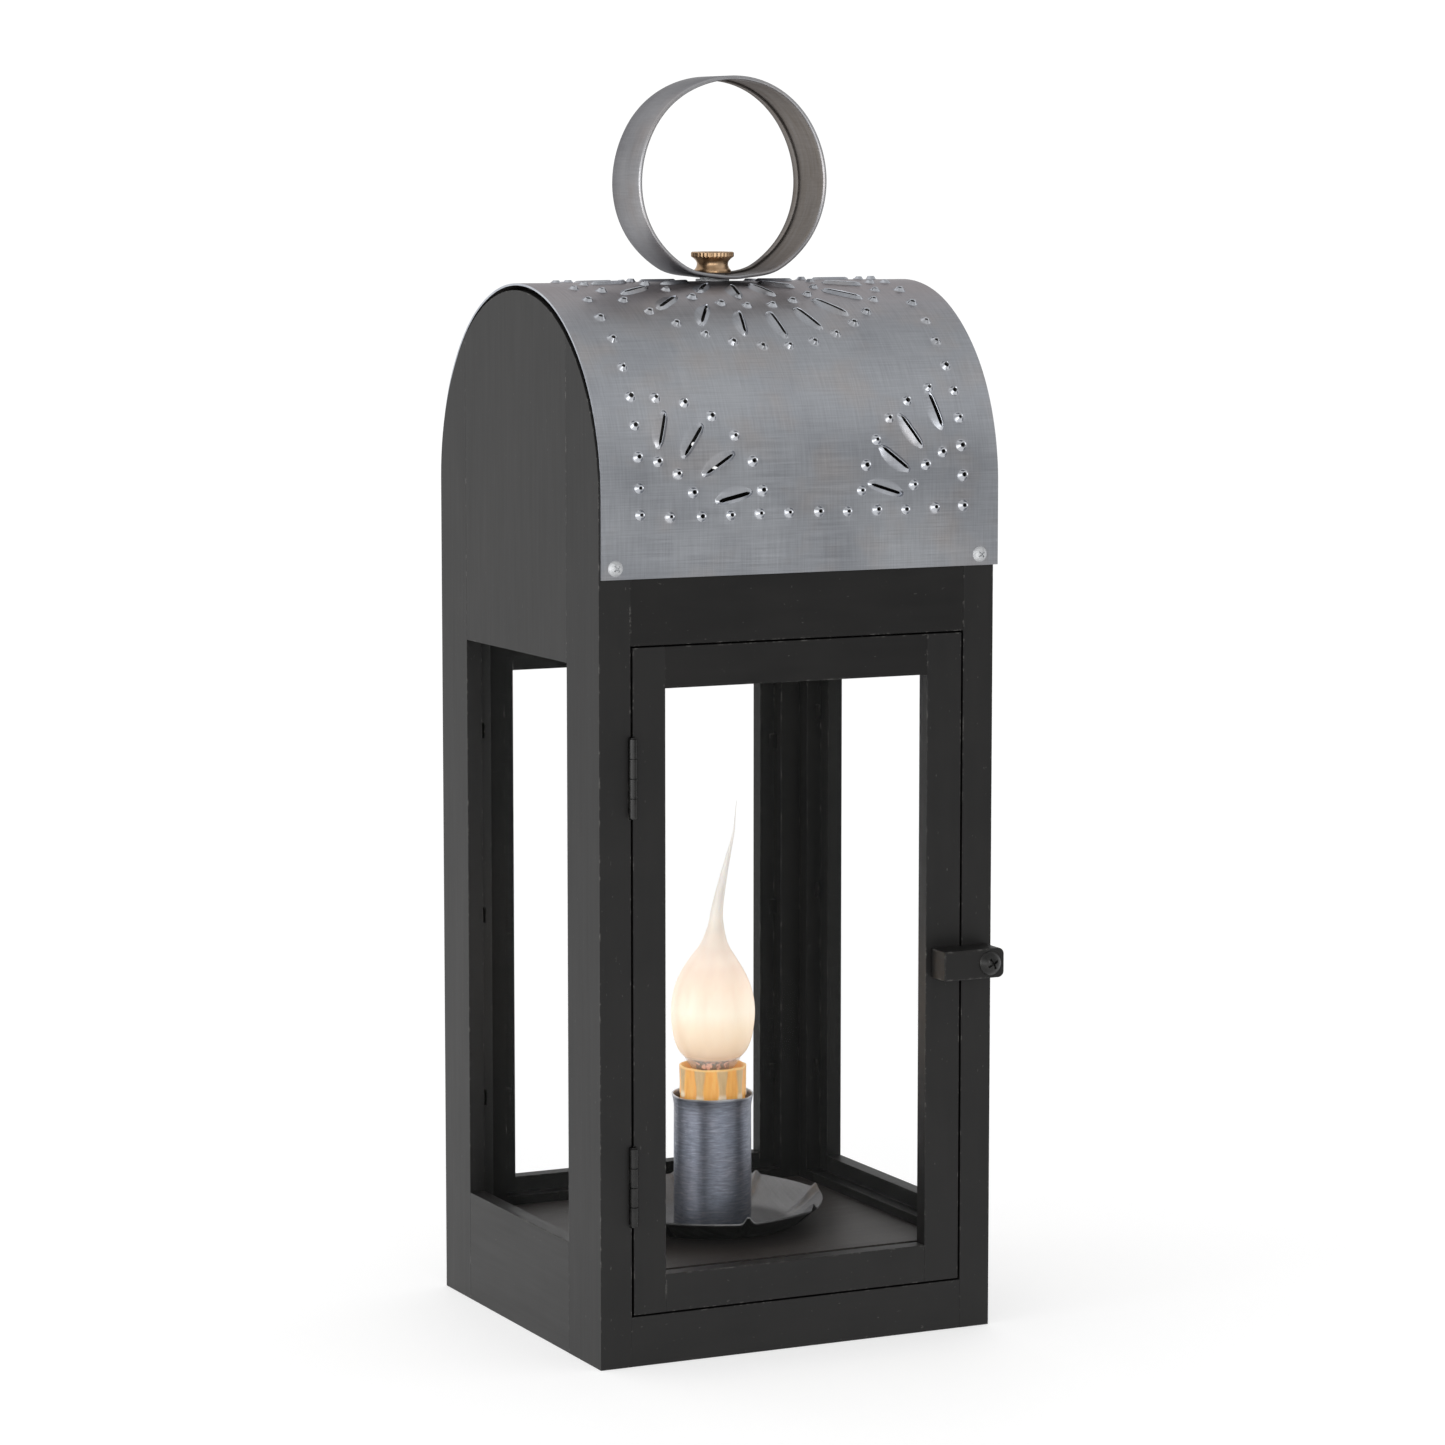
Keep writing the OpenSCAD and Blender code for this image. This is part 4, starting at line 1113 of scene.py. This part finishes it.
class Drips:
    """Drips that run down the sleeve from its rim, each with a waist and a swollen pale tip."""

    COUNT = 9
    FIRST = math.radians(-138.3)
    TIP = 1.3

    def __init__(self, radius, top):
        self.radius, self.top = radius, top
        rng = random.Random(11)
        self.runs = []
        for k in range(self.COUNT):
            centre = self.FIRST + TAU * k / self.COUNT + rng.uniform(-0.05, 0.05)
            self.runs.append((centre, rng.uniform(2.1, 2.6), top - rng.uniform(12.2, 13.6)))

    def half_width(self, width, end, z):
        """Half width at height z of a drip that is width wide at the rim and ends at height end."""
        down = min(1.0, max(0.0, (self.top - z) / (self.top - end)))
        waist = 0.40 * math.sin(math.pi / 2 * min(1.0, down / 0.7)) ** 2
        swell = 0.12 * smooth((down - 0.75) / 0.2)
        past_tip = max(0.0, (end + self.TIP - z) / self.TIP)
        return width * (1.0 - waist + swell) * math.sqrt(max(0.0, 1.0 - past_tip ** 2))

    def at(self, angle, z):
        """Share of a drip and of its pale tip at a point."""
        best, tip = 0.0, 0.0
        for centre, width, end in self.runs:
            gap = abs(turn_between(angle, centre)) * self.radius
            half = self.half_width(width, end, z)
            share = smooth((half - gap) / 0.8 + 0.5) if half > 0.05 else 0.0
            if share > best:
                best = share
                tip = share * smooth((end + 3.6 - z) / 2.2)
        return best, tip


def dripped_sleeve(material):
    """Amber sleeve with drips that run down from its rim and end in pale drops."""
    low, high = box_mm("candle_sleeve")
    outer, z0, z1 = high.x, low.z, high.z
    wall, steps = 1.2, 216
    drips = Drips(outer, z1)
    levels = [z0, z0 + 18, z0 + 36] + [z1 - 15 + 0.5 * k for k in range(29)] + [z1 - 0.45, z1 - 0.15]
    outside = [(outer - 0.45, z) for z in levels]
    rim = [(outer - 0.75, z1), (outer - wall + 0.2, z1 - 0.1)]
    inside = [(outer - wall, z) for z in (z1 - 0.5, z1 - 6, z0)]
    profile = outside + rim + inside
    values = []

    def shape(index, r, z, angle):
        is_outside = index < len(outside)
        share, tip = drips.at(angle, z) if is_outside else (0.0, 0.0)
        lip = smooth((z - z1 + 0.9) / 0.5)
        values.append((share, tip, lip))
        if is_outside:
            r += 0.42 * share + 0.12 * tip + 0.10 * lip
            r -= 0.25 * smooth((z - z1 + 0.3) / 0.3)
        if z > z1 - 0.6:
            z += 0.10 * math.sin(4 * angle + 1.2) + 0.07 * math.sin(9 * angle)
        return r, z

    points = turned(profile, steps, shape)
    sleeve = mesh_object("dripped_sleeve", points, closed_grid(len(profile), steps), sharp=60)
    store_vectors(sleeve, "drip", values)
    dress(sleeve, material, "case", "amber_sleeve", "candle_sleeve")


# Height above the flame's foot, radius, and how far the centre leans to the right
FLAME_OUTLINE = [
    (0.0, 6.2, 0.0), (3.0, 6.3, 0.0), (6.2, 7.0, 0.0), (7.0, 9.2, 0.0), (8.6, 11.5, 0.0),
    (11.5, 13.8, 0.0), (17.0, 15.6, 0.0),
    (25.0, 16.5, 0.0), (32.0, 16.0, 0.0), (38.0, 14.3, 0.0), (43.0, 11.9, 0.1), (48.0, 8.7, 0.3),
    (53.0, 5.4, 0.8), (60.0, 3.2, 1.4), (67.0, 2.35, 2.0), (79.0, 1.55, 4.6), (89.0, 0.85, 7.2),
    (97.0, 0.38, 9.2), (103.0, 0.22, 9.8), (109.0, 0.10, 10.4),
]


def along_outline(points, t):
    """Smooth curve through the points; t runs from 0 to the last point's index."""
    i = min(int(t), len(points) - 2)
    f = t - i
    before, a = points[max(0, i - 1)], points[i]
    b, after = points[i + 1], points[min(len(points) - 1, i + 2)]
    made = []
    for p, q, r, s in zip(before, a, b, after):
        made.append(q + 0.5 * f * (r - p + f * (2 * p - 5 * q + 4 * r - s + f * (3 * (q - r) + s - p))))
    return made


def silicone_flame(material):
    """Dipped silicone flame: a closed bowl with a drawn-out tail that leans and curls."""
    low, high = box_mm("bulb_flame_skin")
    scale = (high.z - low.z) / FLAME_OUTLINE[-1][0]
    parts, steps = 5, 64
    rings = [along_outline(FLAME_OUTLINE, k / parts) for k in range(parts * (len(FLAME_OUTLINE) - 1) + 1)]

    def ripple(index, radius, height, angle):
        wave = 0.12 * math.sin(3 * angle + 0.11 * height) * smooth(radius / 8.0)
        return max(0.08, radius + wave), low.z + height * scale

    upright = turned([(radius, height) for height, radius, _ in rings], steps, ripple)
    leans = [lean for _, _, lean in rings for _ in range(steps)]
    points = [(x + lean, y, z) for (x, y, z), lean in zip(upright, leans)]
    faces = closed_grid(len(rings), steps, open_ends=True)
    faces.append(tuple(range(steps))[::-1])
    faces.append(tuple(range(len(points) - steps, len(points))))
    flame = mesh_object("silicone_flame", points, faces, sharp=50)
    dress(flame, material, "bulb", "silicone_flame", "bulb_flame_skin")


# ---- Carried-over nodes ----


def soften(node, width, material):
    """Gives a node its material and breaks its hard edges by width, in millimetres."""
    made = nodes[node]
    made.data.materials.clear()
    made.data.materials.append(material)
    made.data.polygons.foreach_set("use_smooth", [True] * len(made.data.polygons))
    weld = made.modifiers.new("weld", "WELD")
    weld.merge_threshold = 0.002 * MM
    flat = made.modifiers.new("flat", "DECIMATE")
    flat.decimate_type = "DISSOLVE"
    flat.angle_limit = math.radians(0.5)
    bevel = made.modifiers.new("bevel", "BEVEL")
    bevel.width = width * MM
    bevel.segments = 2
    bevel.limit_method = "ANGLE"
    bevel.angle_limit = math.radians(32)
    weighted = made.modifiers.new("normals", "WEIGHTED_NORMAL")
    weighted.keep_sharp = False
    weighted.weight = 90


def soften_all(names, width, material):
    for node in names:
        soften(node, width, material)


# Name of each paint, the way its brush marks run, its gloss, its share of dust and painted lamplight, and the
# boards it covers
PAINTS = [
    ("paint_side_upright", ALONG_Z, 1.44, 0.0, ["left_rear_stile", "left_gable_panel"]),
    ("paint_side_rail", ALONG_Y, 1.44, 0.0, ["left_bottom_rail"]),
    ("paint_front_upright", ALONG_Z, 1.39, 0.0,
     ["left_front_stile", "right_front_stile", "door_hinge_stile", "door_latch_stile"]),
    ("paint_front_rail", ALONG_X, 1.39, 0.0, ["front_bottom_rail", "door_bottom_rail"]),
    # Lower gloss darkens the top rails under the roof as painted shade.
    ("paint_shaded_upper_front_rail", ALONG_X, 1.33, 0.0, ["front_top_rail", "door_top_rail"]),
    ("paint_shaded_upright", ALONG_Z, 1.20, 0.0,
     ["right_rear_stile", "right_gable_panel", "back_left_stile", "back_right_stile"]),
    ("paint_shaded_side_rail", ALONG_Y, 1.30, 0.0, ["right_bottom_rail"]),
    ("paint_shaded_back_rail", ALONG_X, 1.24, 0.0, ["back_top_rail", "back_bottom_rail"]),
    # The floor board's light brown is partly dust and partly painted lamplight from the bulb.
    ("paint_floor_board", ALONG_X, 1.38, 0.36, ["floor_board"]),
]
IRON = [
    "upper_hinge_frame_leaf", "upper_hinge_door_leaf", "upper_hinge_pin", "lower_hinge_frame_leaf",
    "lower_hinge_door_leaf", "lower_hinge_pin", "hinge_frame_screws", "hinge_door_screws",
    "turn_button_screw",
]
ZINC = [
    "roof_screws", "handle_stud", "stud_washer", "stud_hex_nut", "ring_washer", "lamp_nipple",
    "nipple_locknuts", "nipple_washer",
]
POINTS = ["left_glass_points", "right_glass_points", "back_glass_points", "door_glass_points"]
PANES = ["left_glass", "right_glass", "back_glass", "door_glass"]


def dress_nodes():
    """Gives every node that is carried over its material, with its edges broken by a width in millimetres."""
    for name, along, gloss, dust_and_lamplight, boards in PAINTS:
        soften_all(boards, 0.16, painted_wood(name, along, gloss, dust_and_lamplight))
    soften_all(["turn_button"], 0.5, painted_wood("paint_button", ALONG_X, 1.36, worn=2.0))
    soften_all(POINTS, 0.1, painted_wood("paint_point", ALONG_Z, 1.18))
    soften_all(IRON, 0.12, black_iron())
    zinc = plain_metal("zinc_plate", (0.72, 0.73, 0.74), (0.48, 0.49, 0.50), 0.70, mottle=700.0, relief=0.6)
    soften_all(ZINC, 0.08, zinc)
    soften_all(PANES, 0.1, window_glass())
    copper = plain_metal("bare_copper", (0.72, 0.36, 0.22), (0.46, 0.20, 0.11), 0.26)
    soften_all(["socket_shell", "socket_contact"], 0.05, copper)
    brass = plain_metal("rolled_brass", (0.70, 0.53, 0.28), (0.50, 0.36, 0.17), 0.24)
    soften_all(["bulb_base"], 0.08, brass)
    black = moulded_black()
    soften_all(["lamp_socket"], 0.2, black)
    soften_all(["cord_bushing"], 0.25, black)
    soften_all(["bulb_glass", "bulb_filament"], 0.05, bulb_glass())


# ---- Studio ----


def make_camera():
    """Camera left of the front, a little above the middle, looking slightly down."""
    camera = bpy.data.objects.new("camera", bpy.data.cameras.new("camera"))
    camera.data.lens = 117.15
    camera.data.sensor_width = 36.0
    camera.location = (-0.7893, -1.6389, 0.4461)
    look_right, look_down = math.radians(25.838), math.radians(6.725)
    camera.rotation_euler = (math.pi / 2 - look_down, 0.0, -look_right)
    bpy.context.scene.collection.objects.link(camera)
    bpy.context.scene.camera = camera


def soft_box(name, place, target, width, height, power):
    """Rectangular area light that faces a target point."""
    light = bpy.data.lights.new(name, "AREA")
    light.shape = "RECTANGLE"
    light.size = width
    light.size_y = height
    light.energy = power
    made = bpy.data.objects.new(name, light)
    made.location = place
    aim = Vector(target) - Vector(place)
    made.rotation_euler = aim.to_track_quat("-Z", "Y").to_euler()
    bpy.context.scene.collection.objects.link(made)


def lamp_glow(flame_foot):
    """Small warm light inside the flame."""
    light = bpy.data.lights.new("lamp", "POINT")
    light.energy = 0.22
    light.color = (1.0, 0.62, 0.32)
    light.shadow_soft_size = 18 * MM
    made = bpy.data.objects.new("lamp", light)
    made.location = (0.0, 0.0, flame_foot + 25 * MM)
    made.visible_camera = False
    bpy.context.scene.collection.objects.link(made)


def make_lights(flame_foot):
    middle = (0.0, 0.0, 0.25)
    soft_box("left_window", (-1.8, -0.25, 0.30), middle, 0.7, 1.2, 9.0)
    soft_box("front_window", (-0.10, -1.95, 0.40), middle, 0.35, 1.0, 3.5)
    lamp_glow(flame_foot)
    bpy.context.scene.view_settings.view_transform = "Standard"


# Direction, spread in degrees and brightness of each part of the room that is not plain white
ROOM = [
    ((0.43, -0.89, -0.05), 50, 0.42),
    ((-0.45, 0.88, 0.05), 38, 0.80),
    ((-0.70, -0.70, -0.10), 36, 2.6),
    ((-0.50, -0.55, 0.67), 50, 0.62),
    ((0.43, 0.55, 0.70), 45, 0.85),
    ((0.43, -0.12, 0.89), 42, 0.66),
]
BACKDROP_WHITE = 1.05


def make_world():
    """White room with a few softly darker and brighter parts, which only show in the lantern's faces."""
    world = bpy.data.worlds.new("studio")
    world.use_nodes = True
    bpy.context.scene.world = world
    g = Tree(world.node_tree, "Generated")
    strength = 1.0
    for direction, spread, brightness in ROOM:
        facing = g.dot(g.coords, Vector(direction).normalized())
        part = g.levels(facing, math.cos(math.radians(spread)), 1.0, 1.0, brightness, "SMOOTHSTEP")
        strength = g.math("MULTIPLY", strength, part)
    seen = g.add("ShaderNodeLightPath").outputs["Is Camera Ray"]
    plain = g.add("ShaderNodeMix")
    g.feed(plain.inputs[0], seen)
    g.feed(plain.inputs[2], strength)
    g.feed(plain.inputs[3], BACKDROP_WHITE)
    background = world.node_tree.nodes["Background"]
    g.feed(background.inputs["Strength"], plain.outputs[0])
    g.feed(background.inputs["Color"], (1.0, 1.0, 1.0, 1.0))


def make_floor():
    """Round table top, wide enough to fill the picture below the lantern."""
    rim = [(x, y, 0.0) for x, y in circle(0.0, 250.0, 1150.0, 96)]
    floor = mesh_object("floor", rim, [tuple(range(len(rim)))])
    case_low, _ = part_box("left_gable_panel")
    floor.data.materials.append(table_white(-case_low.x, ROOF_R * MM))


flame_low, flame_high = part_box("bulb_flame_skin")

dress_nodes()
punched_roof(roof_tin(), painted_shade_tin(), plain_metal("cut_tin", (0.66, 0.69, 0.74), (0.50, 0.52, 0.57), 0.40))
strap_ring(ring_tin())
knurled_nut(aged_brass())
crimped_pan(pan_tin())
tin_tube(rolled_tin())
dripped_sleeve(amber_sleeve())
silicone_flame(flame_silicone(flame_low.z, flame_high.z))

make_floor()
make_world()
make_lights(flame_low.z)
make_camera()
